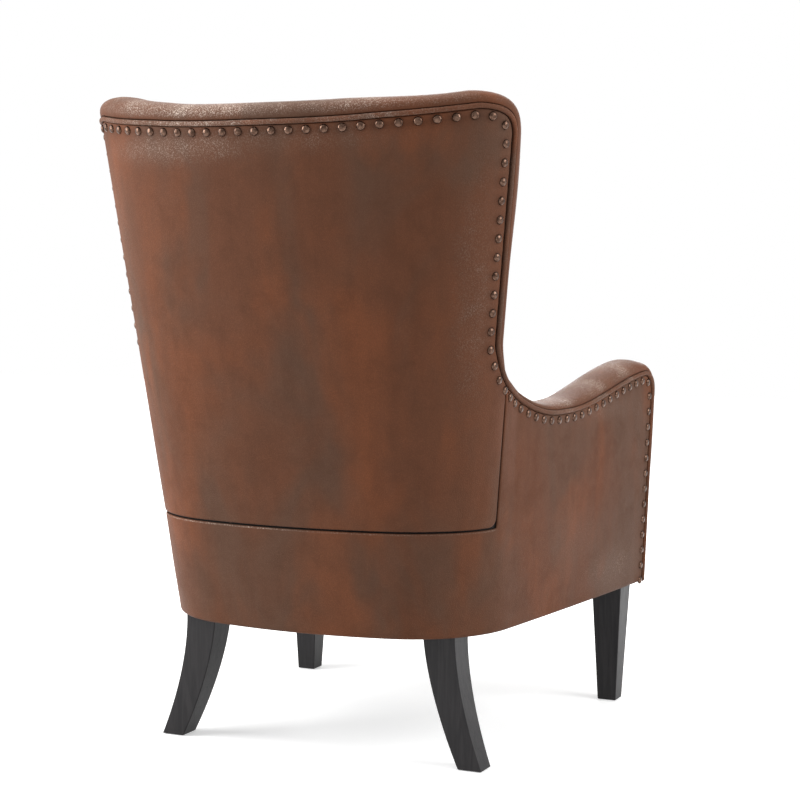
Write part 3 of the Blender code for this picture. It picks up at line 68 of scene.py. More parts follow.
MIRROR = np.array([-1.0, 1.0])
TINY = 1e-12
SHARP_ANGLE = math.radians(62.0)
CORNER_STEPS = 32
RUN_STEPS = 40
CROOK_STEPS = 24
FACES_DOWN = -0.5
WELD_DISTANCE = 1e-6
CORD_END_STEPS = (0.8, 0.4)
CORD_END_WIDTHS = (0.55, 0.88)


class Side(Enum):
    """One side of the chair, named for the sitter, with its sign along X."""

    RIGHT = -1.0
    LEFT = 1.0

    @property
    def label(self) -> str:
        """Word for this side in the names of pieces."""
        return self.name.lower()


class Body(Enum):
    """Moving bodies of the frame."""

    CHAIR = "chair"
    CUSHION = "cushion"


class Slot(Enum):
    """Names of material slots of the record; the pieces here are given their finishes directly, not
    through these.
    """

    HIDE = "hide"
    STUD = "stud_metal"
    LEG = "leg_wood"
    DECK = "deck_cloth"
    DUST = "dust_cloth"


def smoothstep(value: Array) -> Array:
    """Ease from 0 to 1 with flat ends."""
    value = np.clip(value, 0.0, 1.0)
    return value * value * (3.0 - 2.0 * value)


def quarter(value: Array) -> Array:
    """Quarter of an ellipse: 0 at the edge, 1 one rounding width inside it."""
    return np.sqrt(1.0 - (1.0 - np.clip(value, 0.0, 1.0)) ** 2)


def blend(first: Array, second: Array, share: Array) -> Array:
    """Value that lies a share of the way from the first to the second."""
    return first + (second - first) * share


@dataclass(frozen=True)
class Ease:
    """Smooth step from 0 to 1 that starts at a low value and takes a span."""

    low: float
    span: float

    @property
    def high(self) -> float:
        """Value at which the step ends."""
        return self.low + self.span

    def at(self, value: Array) -> Array:
        """The step at each value."""
        return smoothstep((np.asarray(value) - self.low) / self.span)


def unit(vectors: Array) -> Array:
    """Vectors of the same directions and of length 1."""
    return vectors / np.maximum(np.linalg.norm(vectors, axis=-1, keepdims=True), TINY)


def circle(sides: int) -> Array:
    """Points (cosine, sine) of a regular polygon of radius 1."""
    angles = 2 * math.pi * np.arange(sides) / sides
    return np.stack([np.cos(angles), np.sin(angles)], -1)


def walked(line: Array) -> Array:
    """Length walked along a polyline up to each of its points."""
    return np.concatenate([[0.0], np.cumsum(np.linalg.norm(np.diff(line, axis=0), axis=1))])


def marked(line: Array, lengths: Array, count: int) -> Array:
    """Points at equal steps of the lengths that belong to a line's points, ends included."""
    marks = np.linspace(0.0, lengths[-1], count + 1)
    return np.stack([np.interp(marks, lengths, column) for column in line.T], axis=-1)


def resample(line: Array, count: int) -> Array:
    """Polyline cut into a count of equal steps, ends included."""
    return marked(line, walked(line), count)


def spots(*places: tuple[float, float]) -> list[Array]:
    """Points (s, z) as arrays."""
    return [np.array(place) for place in places]


def joined(pieces: Sequence[Array]) -> Array:
    """Polylines joined at their shared ends."""
    return np.concatenate([pieces[0][:1]] + [piece[1:] for piece in pieces])


def stepped(runs: Sequence[list[Array]], steps: Sequence[tuple], finer: int) -> Array:
    """Line through runs of pieces, each piece cut into its own count of steps, made finer."""
    pairs = [pair for run, counts in zip(runs, steps) for pair in zip(run, counts)]
    return joined([resample(piece, finer * count) for piece, count in pairs])


def mirrored(line: Array) -> Array:
    """The same polyline on the other half of the shell, walked the other way."""
    return line[::-1] * MIRROR


def both_halves(half: Array) -> Array:
    """Line that ends at the middle, followed by its mirror image."""
    return joined([half, mirrored(half)])


def closed(line: Array) -> Array:
    """Polyline that comes back to its start."""
    return np.concatenate([line, line[:1]])


def loop_of(runs: Sequence[tuple[Array, int]]) -> Array:
    """Loop through runs of a line, each cut into its own count of equal steps."""
    return np.concatenate([resample(line, count)[:-1] for line, count in runs])


def runs_of(loop: Array, counts: Sequence[int]) -> list[Array]:
    """Runs of a loop with these counts of steps, each with both of its ends."""
    ends = np.cumsum([0, *counts])
    return [loop[np.arange(a, b + 1) % len(loop)] for a, b in zip(ends, ends[1:])]


def line_normals(line: Array, loop: bool = False) -> Array:
    """Unit normals on the right-hand side of a polyline's direction of travel.

    Args:
        line: Points (s, z).
        loop: True where the last point is followed by the first.

    Returns:
        One normal for each point.
    """
    if loop:
        along = np.roll(line, -1, axis=0) - np.roll(line, 1, axis=0)
    else:
        along = np.gradient(line, axis=0)
    along = unit(along)
    return np.stack([along[:, 1], -along[:, 0]], axis=-1)


def shifted(line: Array, offset: float) -> Array:
    """Polyline moved sideways to the right of its direction of travel."""
    return line + line_normals(line) * offset


def distance_to(line: Array, points: Array) -> Array:
    """Least distance from each point to a polyline.

    Args:
        line: Points (s, z) of the polyline.
        points: Points (s, z) to measure.

    Returns:
        One distance for each point.
    """
    best = np.full(len(points), np.inf)
    for start, along in zip(line, np.diff(line, axis=0)):
        away = points - start
        share = np.clip(away @ along / max(along @ along, TINY), 0.0, 1.0)
        best = np.minimum(best, np.linalg.norm(away - share[:, None] * along, axis=1))
    return best


def coons(bottom: Array, right: Array, top: Array, left: Array) -> Array:
    """Grid of (s, z) points inside four edges.

    Args:
        bottom: Lower edge, from left to right.
        right: Right edge, from below.
        top: Upper edge, from left to right.
        left: Left edge, from below.

    Returns:
        Points row by row, from below.
    """
    fu = np.linspace(0.0, 1.0, len(bottom))[None, :, None]
    fv = np.linspace(0.0, 1.0, len(right))[:, None, None]
    ruled_v, ruled_u = blend(bottom[None], top[None], fv), blend(left[:, None], right[:, None], fu)
    low, high = blend(bottom[0], bottom[-1], fu), blend(top[0], top[-1], fu)
    return (ruled_v + ruled_u - blend(low, high, fv)).reshape(-1, 2)


def between(start: Array, end: Array, count: int) -> Array:
    """Straight line in a count of equal steps, ends included."""
    return blend(start, end, np.linspace(0.0, 1.0, count + 1)[:, None])


def grid_shares(count_u: int, count_v: int) -> tuple[Array, Array]:
    """Shares from 0 to 1 along and up a grid, for its points row by row."""
    fu, fv = np.meshgrid(np.linspace(0.0, 1.0, count_u + 1), np.linspace(0.0, 1.0, count_v + 1))
    return fu.ravel(), fv.ravel()


def grid_faces(count_u: int, count_v: int) -> Faces:
    """Quads of a grid of cells stored row by row.

    Args:
        count_u: Cells in each row.
        count_v: Rows of cells.

    Returns:
        Faces as lists of point numbers.
    """
    wide = count_u + 1
    corners = [v * wide + u for v in range(count_v) for u in range(count_u)]
    return [[c, c + 1, c + wide + 1, c + wide] for c in corners]


def border_ids(count_u: int, count_v: int) -> list[int]:
    """Numbers of a grid's border points, anticlockwise from its lower left corner.

    Args:
        count_u: Cells in each row.
        count_v: Rows of cells.

    Returns:
        Point numbers, without the first one again at the end.
    """
    wide = count_u + 1
    bottom = list(range(count_u))
    right = [v * wide + count_u for v in range(count_v)]
    top = [count_v * wide + u for u in range(count_u, 0, -1)]
    left = [v * wide for v in range(count_v, 0, -1)]
    return bottom + right + top + left


def strip_faces(rows: Sequence[Array], loop: bool) -> Faces:
    """Quads between rows of point numbers.

    Args:
        rows: Equally long rows that follow each other.
        loop: True where each row's last point is followed by its first.

    Returns:
        Faces as lists of point numbers.
    """
    count = len(rows[0])
    steps = [(k, (k + 1) % count) for k in range(count if loop else count - 1)]
    pairs = list(zip(rows, rows[1:]))
    return [[int(a[k]), int(b[k]), int(b[n]), int(a[n])] for a, b in pairs for k, n in steps]


def ringed(rings: Sequence[Array]) -> Shape:
    """Closed form through rings of points.

    Args:
        rings: Equally long rings in space, from below.

    Returns:
        Points and faces.
    """
    count = len(rings[0])
    rows = np.arange(len(rings) * count).reshape(len(rings), count)
    faces = [rows[0][::-1].tolist(), rows[-1].tolist()]
    return np.concatenate(rings), faces + strip_faces(rows[::-1], loop=True)


def fillet(before: Array, corner: Array, after: Array, radius: float, steps: int = 8) -> Array:
    """Rounded corner between two straight runs.

    Args:
        before: A point on the run that leads in.
        corner: The sharp corner.
        after: A point on the run that leads out.
        radius: Radius of the rounding.
        steps: Even number of steps round the corner.

    Returns:
        Points from the first run to the second.
    """
    u, v = unit(before - corner), unit(after - corner)
    half = math.acos(float(np.clip(u @ v, -1.0, 1.0))) / 2
    reach = radius / math.tan(half)
    centre = corner + unit(u + v) * radius / math.sin(half)
    start, end = corner + u * reach - centre, corner + v * reach - centre
    turn = math.acos(float(np.clip(start @ end / radius ** 2, -1.0, 1.0)))
    marks = np.linspace(0.0, 1.0, steps + 1)[:, None]
    arc = np.sin((1 - marks) * turn) * start + np.sin(marks * turn) * end
    return centre + arc / math.sin(turn)


def solid_between(near: Array, far: Array, faces: Faces) -> Shape:
    """Closed mesh between two sheets of points that share their faces.

    Args:
        near: Points of the first sheet.
        far: Points of the second sheet.
        faces: Faces of one sheet.

    Returns:
        All points and all faces.
    """
    shift = len(near)
    uses: dict[tuple[int, int], list[tuple[int, int]]] = {}
    result = [list(face) for face in faces]
    result += [[shift + k for k in reversed(face)] for face in faces]
    for face in faces:
        for a, b in zip(face, face[1:] + face[:1]):
            uses.setdefault((min(a, b), max(a, b)), []).append((a, b))
    rim = [pairs[0] for pairs in uses.values() if len(pairs) == 1]
    return np.concatenate([near, far]), result + [[b, a, shift + a, shift + b] for a, b in rim]


def ripple(points: Array, size: float, seed: float) -> Array:
    """Smooth noise between about -1 and 1 at each point, with ripples of one size."""
    shift = Vector((seed, -seed, seed / 2))
    return np.array([noise.noise(Vector(point) / size + shift) for point in points])


def turned(
    profile: Sequence[tuple[float, float]], radius: float, height: float, sides: int
) -> Shape:
    """Closed solid of revolution about Z.

    Args:
        profile: Shares of the radius and height, from below.
        radius: Radius that the shares are of.
        height: Height that the shares are of.
        sides: Number of sides.

    Returns:
        Points and faces.
    """
    ring = circle(sides)
    shares = [(r * radius, h * height) for r, h in profile]
    return ringed([np.column_stack([r * ring, np.full(sides, h)]) for r, h in shares])


def tube(points: Array, radius: float, sides: int) -> Shape:
    """Round cord along a line, with rounded ends.

    Args:
        points: Points along its middle.
        radius: Radius of the cord.
        sides: Number of sides.

    Returns:
        Points and faces.
    """
    along = unit(np.gradient(points, axis=0))
    ends = radius * np.array(CORD_END_STEPS)[:, None]
    first, last = points[0] - along[0] * ends, points[-1] + along[-1] * ends[::-1]
    path = np.concatenate([first, points, last])
    widths = np.concatenate([CORD_END_WIDTHS, np.ones(len(points)), CORD_END_WIDTHS[::-1]]) * radius
    along = unit(np.gradient(path, axis=0))
    side = np.cross(along[0], [0.0, 0.0, 1.0])
    if np.linalg.norm(side) < 0.1:
        side = np.cross(along[0], [1.0, 0.0, 0.0])
    ring, rings = circle(sides), []
    for point, ahead, width in zip(path, along, widths):
        side = unit(side - ahead * (side @ ahead))
        rings.append(point + width * ring @ np.stack([side, np.cross(ahead, side)]))
    return ringed(rings)


def make_piece(
    name: str,
    shape: Shape,
    material: Material,
    replaced: Sequence[str] = (),
    body: Body = Body.CHAIR,
    masks: Optional[dict[str, Array]] = None,
    solid: bool = True,
) -> Piece:
    """Make a named piece that rides on a body and stands for its CAD nodes.

    Args:
        name: Name of the piece.
        shape: Points and faces.
        material: Finish of the piece.
        replaced: CAD nodes that the piece stands for.
        body: Body that carries the piece.
        masks: Values for each point that the finish reads, by name.
        solid: True where the mesh is a closed body, whose normals are turned outwards.

    Returns:
        The new object.
    """
    points, faces = shape
    mesh = bpy.data.meshes.new(name)
    mesh.from_pydata(points.tolist(), [], faces)
    for label, values in (masks or {}).items():
        layer = mesh.attributes.new(label, "FLOAT", "POINT")
        layer.data.foreach_set("value", np.asarray(values, np.float32))
    if solid:
        work = bmesh.new()
        work.from_mesh(mesh)
        bmesh.ops.recalc_face_normals(work, faces=work.faces[:])
        work.to_mesh(mesh)
        work.free()
    mesh.shade_smooth()
    mesh.set_sharp_from_angle(angle=SHARP_ANGLE)
    mesh.materials.append(material)
    piece = bpy.data.objects.new(name, mesh)
    bpy.context.collection.objects.link(piece)
    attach(piece, body.value)
    if replaced:
        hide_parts(*replaced)
    LOG.info("%s: %d faces on %s", name, len(faces), body.value)
    return piece


class Sketch:
    """Adds nodes to one shader tree and links them."""

    def __init__(self, tree: bpy.types.NodeTree) -> None:
        """Keep the tree that the nodes go into."""
        self.tree = tree

    def feed(self, socket: Socket, value: Feed) -> None:
        """Link a socket to another one, or set its value.

        Args:
            socket: The input.
            value: Its value, or the socket to link.
        """
        if isinstance(value, Socket):
            self.tree.links.new(value, socket)
        elif socket.type == "RGBA" and len(value) == 3:
            socket.default_value = (*value, 1.0)
        else:
            socket.default_value = value

    def dress(self, node: Node, values: dict[Union[str, int], Feed]) -> None:
        """Feed several inputs of a node, by name or number."""
        for key, value in values.items():
            self.feed(node.inputs[key], value)

    def add(self, kind: str, values: Optional[dict] = None, **settings: object) -> Node:
        """Add a node.

        Args:
            kind: Node type.
            values: Inputs by name or number.
            settings: Properties of the node.

        Returns:
            The node.
        """
        node = self.tree.nodes.new(kind)
        for key, value in settings.items():
            setattr(node, key, value)
        self.dress(node, values or {})
        return node

    def mix(self, factor: Feed, first: Feed, second: Feed) -> Socket:
        """Colour mixed from two, with the factor as the share of the second."""
        values = {0: factor, 6: first, 7: second}
        return self.add("ShaderNodeMix", values, data_type="RGBA").outputs[2]

    def math(self, operation: str, first: Feed, second: Feed = 0.0) -> Socket:
        """Result of a named operation on one or two values."""
        return self.add("ShaderNodeMath", {0: first, 1: second}, operation=operation).outputs[0]

    def times(self, first: Feed, second: Feed) -> Socket:
        """Product of two values."""
        return self.math("MULTIPLY", first, second)

    def plus(self, first: Feed, second: Feed) -> Socket:
        """Sum of two values."""
        return self.math("ADD", first, second)

    def minus(self, first: Feed, second: Feed) -> Socket:
        """Difference of two values."""
        return self.math("SUBTRACT", first, second)

    def ramp(
        self, value: Feed, low: float, high: float, start: float = 0.0, end: float = 1.0
    ) -> Socket:
        """Smooth step of a value between low and high, from the start result to the end result."""
        values = {0: value, 1: low, 2: high, 3: start, 4: end}
        return self.add("ShaderNodeMapRange", values, interpolation_type="SMOOTHSTEP").outputs[0]

    def mapped(
        self, vector: Feed, scale: tuple = (1.0, 1.0, 1.0), offset: Feed = (0.0, 0.0, 0.0)
    ) -> Socket:
        """Coordinates scaled along the three axes and then moved."""
        values = {"Vector": vector, "Scale": scale, "Location": offset}
        return self.add("ShaderNodeMapping", values).outputs[0]

    def scaled(self, vector: Feed, factor: Feed) -> Socket:
        """Coordinates scaled alike along the three axes."""
        values = {0: vector, 3: factor}
        return self.add("ShaderNodeVectorMath", values, operation="SCALE").outputs[0]

    def place(self) -> Socket:
        """Coordinates of the object."""
        return self.add("ShaderNodeTexCoord").outputs["Object"]

    def noise(
        self, place: Feed, scale: float, detail: float = 2.0, rough: float = 0.5, bend: float = 0.0
    ) -> Socket:
        """Cloudy noise.

        Args:
            place: Coordinates.
            scale: Clouds per metre.
            detail: Finer layers.
            rough: Share of the finer layers.
            bend: Distortion.

        Returns:
            The noise, from 0 to 1.
        """
        values = {"Vector": place, "Scale": scale, "Detail": detail}
        values |= {"Roughness": rough, "Distortion": bend}
        return self.add("ShaderNodeTexNoise", values).outputs[0]

    def mask(self, name: str) -> Socket:
        """Value that the mesh holds at each point."""
        return self.add("ShaderNodeAttribute", attribute_name=name).outputs["Fac"]

    def seen(self) -> Socket:
        """Tell what the eye sees from what only lights.

        Returns:
            1 where the eye, a reflection or glass sees the surface, otherwise 0.
        """
        light = self.add("ShaderNodeLightPath").outputs
        bent = self.math("MAXIMUM", light["Is Glossy Ray"], light["Is Transmission Ray"])
        return self.math("MAXIMUM", light["Is Camera Ray"], bent)


class Effects:
    """Shader effects that several finishes share, each built once as a node group."""

    KINDS = {"value": "NodeSocketFloat", "colour": "NodeSocketColor", "vector": "NodeSocketVector"}

    def group(self, name: str, inputs: dict, outputs: dict) -> tuple[Sketch, Node, Node]:
        """Start a node group with named sockets.

        Args:
            name: Name of the group.
            inputs: Kind of each input, by name.
            outputs: Kind of each output, by name.

        Returns:
            A sketch of the group with its input and output nodes.
        """
        tree = bpy.data.node_groups.new(name, "ShaderNodeTree")
        for way, sockets in (("INPUT", inputs), ("OUTPUT", outputs)):
            for label, kind in sockets.items():
                tree.interface.new_socket(label, in_out=way, socket_type=self.KINDS[kind])
        sketch = Sketch(tree)
        return sketch, sketch.add("NodeGroupInput"), sketch.add("NodeGroupOutput")

    def put(self, sketch: Sketch, effect: Callable[[], None], values: dict) -> Node:
        """Place a group in a material, and build it on first use.

        Args:
            sketch: Sketch of the material.
            effect: Method that builds the group, which has the method's name.
            values: Inputs by name.

        Returns:
            The group's node.
        """
        if effect.__name__ not in bpy.data.node_groups:
            effect()
        group = bpy.data.node_groups[effect.__name__]
        node = sketch.add("ShaderNodeGroup", node_tree=group)
        sketch.dress(node, values)
        return node

    def hide_clouds(self) -> None:
        """Broad patches, smudges and faint upright streaks of a distressed hide."""
        inputs = {"Offset": "vector", "Scale": "value"}
        outputs = dict.fromkeys(("Cool", "Warm", "Smudge", "Streak"), "value")
        sketch, given, out = self.group("hide_clouds", inputs, outputs)
        spot = sketch.mapped(sketch.place(), offset=given.outputs["Offset"])
        scaled = sketch.scaled(spot, given.outputs["Scale"])
        tall = sketch.mapped(scaled, (1.0, 1.0, 0.55))
        moved = sketch.mapped(tall, offset=(3.7, 1.9, 5.3))
        drawn = sketch.mapped(scaled, (46.0, 46.0, 2.6))
        sketch.dress(out, {
            "Cool": sketch.ramp(sketch.noise(tall, 5.4, 3.0, 0.55, 0.7), 0.44, 0.66),
            "Warm": sketch.ramp(sketch.noise(moved, 6.3, 3.0, 0.55, 0.5), 0.47, 0.68),
            "Smudge": sketch.ramp(sketch.noise(scaled, 24.0, 4.0, 0.62, 0.4), 0.4, 0.72),
            "Streak": sketch.ramp(sketch.noise(drawn, 1.0, 2.0, 0.5), 0.38, 0.7),
        })

    def hide_grain(self) -> None:
        """Pebbled grain with fine pores, and the specks at which glints are painted on the hide."""
        outputs = {"Height": "value", "Speckle": "value"}
        sketch, given, out = self.group("hide_grain", {"Scale": "value"}, outputs)
        spot = sketch.scaled(sketch.place(), given.outputs["Scale"])
        cells = sketch.add("ShaderNodeTexVoronoi", {"Vector": spot, "Scale": 520.0})
        pebble = sketch.ramp(cells.outputs["Distance"], 0.05, 0.62, 1.0, 0.0)
        pores = sketch.noise(spot, 900.0, 2.0, 0.6)
        fine = sketch.plus(sketch.times(pebble, 0.55), sketch.times(pores, 0.35))
        sketch.dress(out, {
            "Height": sketch.plus(fine, sketch.times(sketch.noise(spot, 160.0, 2.0), 0.5)),
            "Speckle": sketch.ramp(sketch.noise(spot, 560.0, 3.0, 0.7), 0.49, 0.64),
        })

    def timber_figure(self) -> None:
        """Long grain of timber with pores, along Z or along the widest way of a board."""
        inputs = {"Dark": "colour", "Light": "colour", "Stretch": "vector"}
        outputs = {"Color": "colour", "Height": "value", "Pores": "value"}
        sketch, given, out = self.group("timber_figure", inputs, outputs)
        dark, light, stretch = (given.outputs[label] for label in inputs)
        values = {0: sketch.place(), 1: stretch}
        drawn = sketch.add("ShaderNodeVectorMath", values, operation="MULTIPLY").outputs[0]
        bands = sketch.noise(drawn, 1.0, 4.0, 0.6, 1.4)
        pores = sketch.ramp(sketch.noise(drawn, 7.0, 2.0, 0.6), 0.3, 0.46, 1.0, 0.0)
        colour = sketch.mix(sketch.ramp(bands, 0.3, 0.7), dark, light)
        sketch.dress(out, {
            "Color": sketch.mix(sketch.times(pores, 0.45), colour, dark),
            "Height": sketch.minus(sketch.times(bands, 0.4), sketch.times(pores, 0.6)),
            "Pores": pores,
        })

    def plain_weave(self) -> None:
        """Over-and-under threads of a plain cloth, in the plane of X and Y or X and Z."""
        inputs = {"Thread": "colour", "Gap": "colour", "Pitch": "value"}
        outputs = {"Color": "colour", "Height": "value"}
        sketch, given, out = self.group("plain_weave", inputs, outputs)
        thread, gap, pitch = (given.outputs[label] for label in inputs)
        spot = sketch.place()
        parts = sketch.add("ShaderNodeSeparateXYZ", {0: spot}).outputs
        heights = []
        for value in (parts["X"], sketch.plus(parts["Y"], parts["Z"])):
            wave = sketch.math("SINE", sketch.times(value, pitch))
            heights.append(sketch.plus(sketch.times(wave, 0.5), 0.5))
        height = sketch.math("MAXIMUM", *heights)
        faded = sketch.ramp(sketch.noise(spot, 18.0, 3.0), 0.3, 0.8, 0.75, 1.0)
        colour = sketch.mix(sketch.times(height, faded), gap, thread)
        sketch.dress(out, {"Color": colour, "Height": height})

    def metal_patina(self) -> None:
        """Darkened metal that rubbing has made bright and smooth in places."""
        inputs = {"Bright": "colour", "Dull": "colour"}
        outputs = {"Color": "colour", "Rub": "value", "Height": "value"}
        sketch, given, out = self.group("metal_patina", inputs, outputs)
        spot = sketch.place()
        rub = sketch.ramp(sketch.noise(spot, 210.0, 3.0, 0.6), 0.34, 0.68)
        sketch.dress(out, {
            "Color": sketch.mix(rub, given.outputs["Dull"], given.outputs["Bright"]),
            "Rub": rub,
            "Height": sketch.noise(spot, 420.0, 2.0, 0.5),
        })


EFFECTS = Effects()


@dataclass(frozen=True)
class Finish:
    """A procedural finish; each kind adds its own nodes."""

    name: str

    def sockets(self, sketch: Sketch) -> dict[str, Feed]:
        """What the shader's sockets are fed with; each kind of finish says it."""
        raise NotImplementedError

    def build(self) -> Material:
        """Build the material.

        Returns:
            The material, with its shader fed.
        """
        material = bpy.data.materials.new(self.name)
        material.use_nodes = True
        sketch = Sketch(material.node_tree)
        sketch.dress(material.node_tree.nodes["Principled BSDF"], self.sockets(sketch))
        return material


@dataclass(frozen=True)
class ReliefFinish(Finish):
    """A finish with a fine relief, shown as a share of its real height."""

    relief: float = 0.25
    relief_height: float = 0.0004

    def bump(self, sketch: Sketch, height: Feed) -> Socket:
        """Normal of the surface with its relief."""
        values = {"Height": height, "Strength": self.relief, "Distance": self.relief_height}
        return sketch.add("ShaderNodeBump", values).outputs["Normal"]


@dataclass(frozen=True)
class HideFinish(ReliefFinish):
    """Distressed brown hide, cloudy, polished by rubbing in places with painted glints there, and
    with painted shade in its creases.
    """

    offset: tuple = (0.0, 0.0, 0.0)
    base: Colour = (0.122, 0.049, 0.027)
    cool: Colour = (0.094, 0.056, 0.039)
    warm: Colour = (0.18, 0.06, 0.027)
    dark: Colour = (0.06, 0.027, 0.016)
    # Colour of painted glints: light specks that stand for highlights on the grain.
    rubbed: Colour = (0.42, 0.33, 0.27)
    # Colour of painted shade in creases, along the piping and round nails.
    crease: Colour = (0.018, 0.008, 0.005)
    cool_share: float = 0.72
    warm_share: float = 0.68
    smudge_share: float = 0.22
    streak_share: float = 0.14
    pores: tuple = (0.4, 0.85, 0.22, 0.0)
    patch_scale: float = 1.0
    grain_scale: float = 1.0
    relief: float = 0.42
    relief_height: float = 0.0007
    speck: float = 0.72
    speck_least: float = 0.1
    roughness: float = 0.5
    roughness_range: float = 0.1
    shine: float = 0.035
    sheen: float = 0.02
    sheen_roughness: float = 0.45
    sheen_tint: Colour = (0.95, 0.82, 0.72)

    def sockets(self, sketch: Sketch) -> dict[str, Feed]:
        """What the shader's sockets are fed with.

        Args:
            sketch: Sketch of the material.

        Returns:
            Values and links by the names of the sockets.
        """
        values = {"Offset": self.offset, "Scale": self.patch_scale}
        clouds = EFFECTS.put(sketch, EFFECTS.hide_clouds, values).outputs
        grain = EFFECTS.put(sketch, EFFECTS.hide_grain, {"Scale": self.grain_scale}).outputs
        rub, smudge = sketch.mask("rub"), clouds["Smudge"]
        colour = sketch.mix(sketch.times(clouds["Cool"], self.cool_share), self.base, self.cool)
        colour = sketch.mix(sketch.times(clouds["Warm"], self.warm_share), colour, self.warm)
        colour = sketch.mix(sketch.times(smudge, self.smudge_share), colour, self.dark)
        colour = sketch.mix(sketch.times(clouds["Streak"], self.streak_share), colour, self.dark)
        colour = sketch.mix(sketch.ramp(grain["Height"], *self.pores), colour, self.dark)
        # Painted glints: light specks mixed in where the mask from the mesh is high, patchy with
        # the smudges; the same mask also lowers the roughness.
        speck = sketch.plus(sketch.times(grain["Speckle"], self.speck), self.speck_least)
        patchy = sketch.times(rub, sketch.ramp(smudge, 0.0, 1.0, 0.5, 1.2))
        colour = sketch.mix(sketch.times(speck, patchy), colour, self.rubbed)
        rough = sketch.plus(sketch.times(smudge, self.roughness_range), self.roughness)
        return {
            # Painted shade: darker where the mesh's shade mask is high, in creases, by the piping
            # and round nails.
            "Base Color": sketch.mix(sketch.mask("crease"), colour, self.crease),
            "Roughness": sketch.minus(rough, sketch.times(rub, self.roughness_range)),
            "Specular IOR Level": self.shine,
            "Sheen Weight": self.sheen,
            "Sheen Roughness": self.sheen_roughness,
            "Sheen Tint": self.sheen_tint,
            "Normal": self.bump(sketch, grain["Height"]),
        }


@dataclass(frozen=True)
class TimberFinish(ReliefFinish):
    """Timber with its grain along one axis."""

    dark: Colour = (0.2, 0.1, 0.05)
    light: Colour = (0.4, 0.3, 0.2)
    stretch: tuple = (60.0, 60.0, 4.0)
    roughness: float = 0.6
    pore_roughness: float = 0.12
    shine: float = 0.4

    def sockets(self, sketch: Sketch) -> dict[str, Feed]:
        """What the shader's sockets are fed with.

        Args:
            sketch: Sketch of the material.

        Returns:
            Values and links by the names of the sockets.
        """
        values = {"Dark": self.dark, "Light": self.light, "Stretch": self.stretch}
        figure = EFFECTS.put(sketch, EFFECTS.timber_figure, values).outputs
        pores = sketch.times(figure["Pores"], self.pore_roughness)
        return {
            "Base Color": figure["Color"],
            "Roughness": sketch.plus(pores, self.roughness),
            "Specular IOR Level": self.shine,
            "Normal": self.bump(sketch, figure["Height"]),
        }


@dataclass(frozen=True)
class ClothFinish(ReliefFinish):
    """Plain woven cloth."""

    thread: Colour = (0.1, 0.1, 0.1)
    gap: Colour = (0.02, 0.02, 0.02)
    pitch: float = 2600.0
    roughness: float = 0.9
    shine: float = 0.2
    relief: float = 0.5
    relief_height: float = 0.0006

    def sockets(self, sketch: Sketch) -> dict[str, Feed]:
        """What the shader's sockets are fed with.

        Args:
            sketch: Sketch of the material.

        Returns:
            Values and links by the names of the sockets.
        """
        values = {"Thread": self.thread, "Gap": self.gap, "Pitch": self.pitch}
        weave = EFFECTS.put(sketch, EFFECTS.plain_weave, values).outputs
        return {
            "Base Color": weave["Color"],
            "Roughness": self.roughness,
            "Specular IOR Level": self.shine,
            "Normal": self.bump(sketch, weave["Height"]),
        }


@dataclass(frozen=True)
class MetalFinish(ReliefFinish):
    """Metal with a patina."""

    bright: Colour = (0.5, 0.5, 0.5)
    dull: Colour = (0.2, 0.2, 0.2)
    roughness: float = 0.4
    polish: float = 0.12

    def sockets(self, sketch: Sketch) -> dict[str, Feed]:
        """What the shader's sockets are fed with.

        Args:
            sketch: Sketch of the material.

        Returns:
            Values and links by the names of the sockets.
        """
        values = {"Bright": self.bright, "Dull": self.dull}
        patina = EFFECTS.put(sketch, EFFECTS.metal_patina, values).outputs
        return {
            "Base Color": patina["Color"],
            "Metallic": 1.0,
            "Roughness": sketch.minus(self.roughness, sketch.times(patina["Rub"], self.polish)),
            "Normal": self.bump(sketch, patina["Height"]),
        }


@dataclass(frozen=True)
class NylonFinish(ReliefFinish):
    """Moulded nylon with a fine matt texture."""

    colour: Colour = (0.03, 0.028, 0.027)
    scuffed: Colour = (0.075, 0.072, 0.07)
    roughness: tuple = (0.45, 0.62)
    relief: float = 0.2
    relief_height: float = 0.0003

    def sockets(self, sketch: Sketch) -> dict[str, Feed]:
        """What the shader's sockets are fed with.

        Args:
            sketch: Sketch of the material.

        Returns:
            Values and links by the names of the sockets.
        """
        spot = sketch.place()
        scuff = sketch.ramp(sketch.noise(spot, 160.0, 3.0, 0.6), 0.48, 0.74)
        texture = sketch.noise(spot, 1400.0, 2.0)
        return {
            "Base Color": sketch.mix(scuff, self.colour, self.scuffed),
            "Roughness": sketch.ramp(scuff, 0.0, 1.0, *self.roughness),
            "Normal": self.bump(sketch, texture),
        }


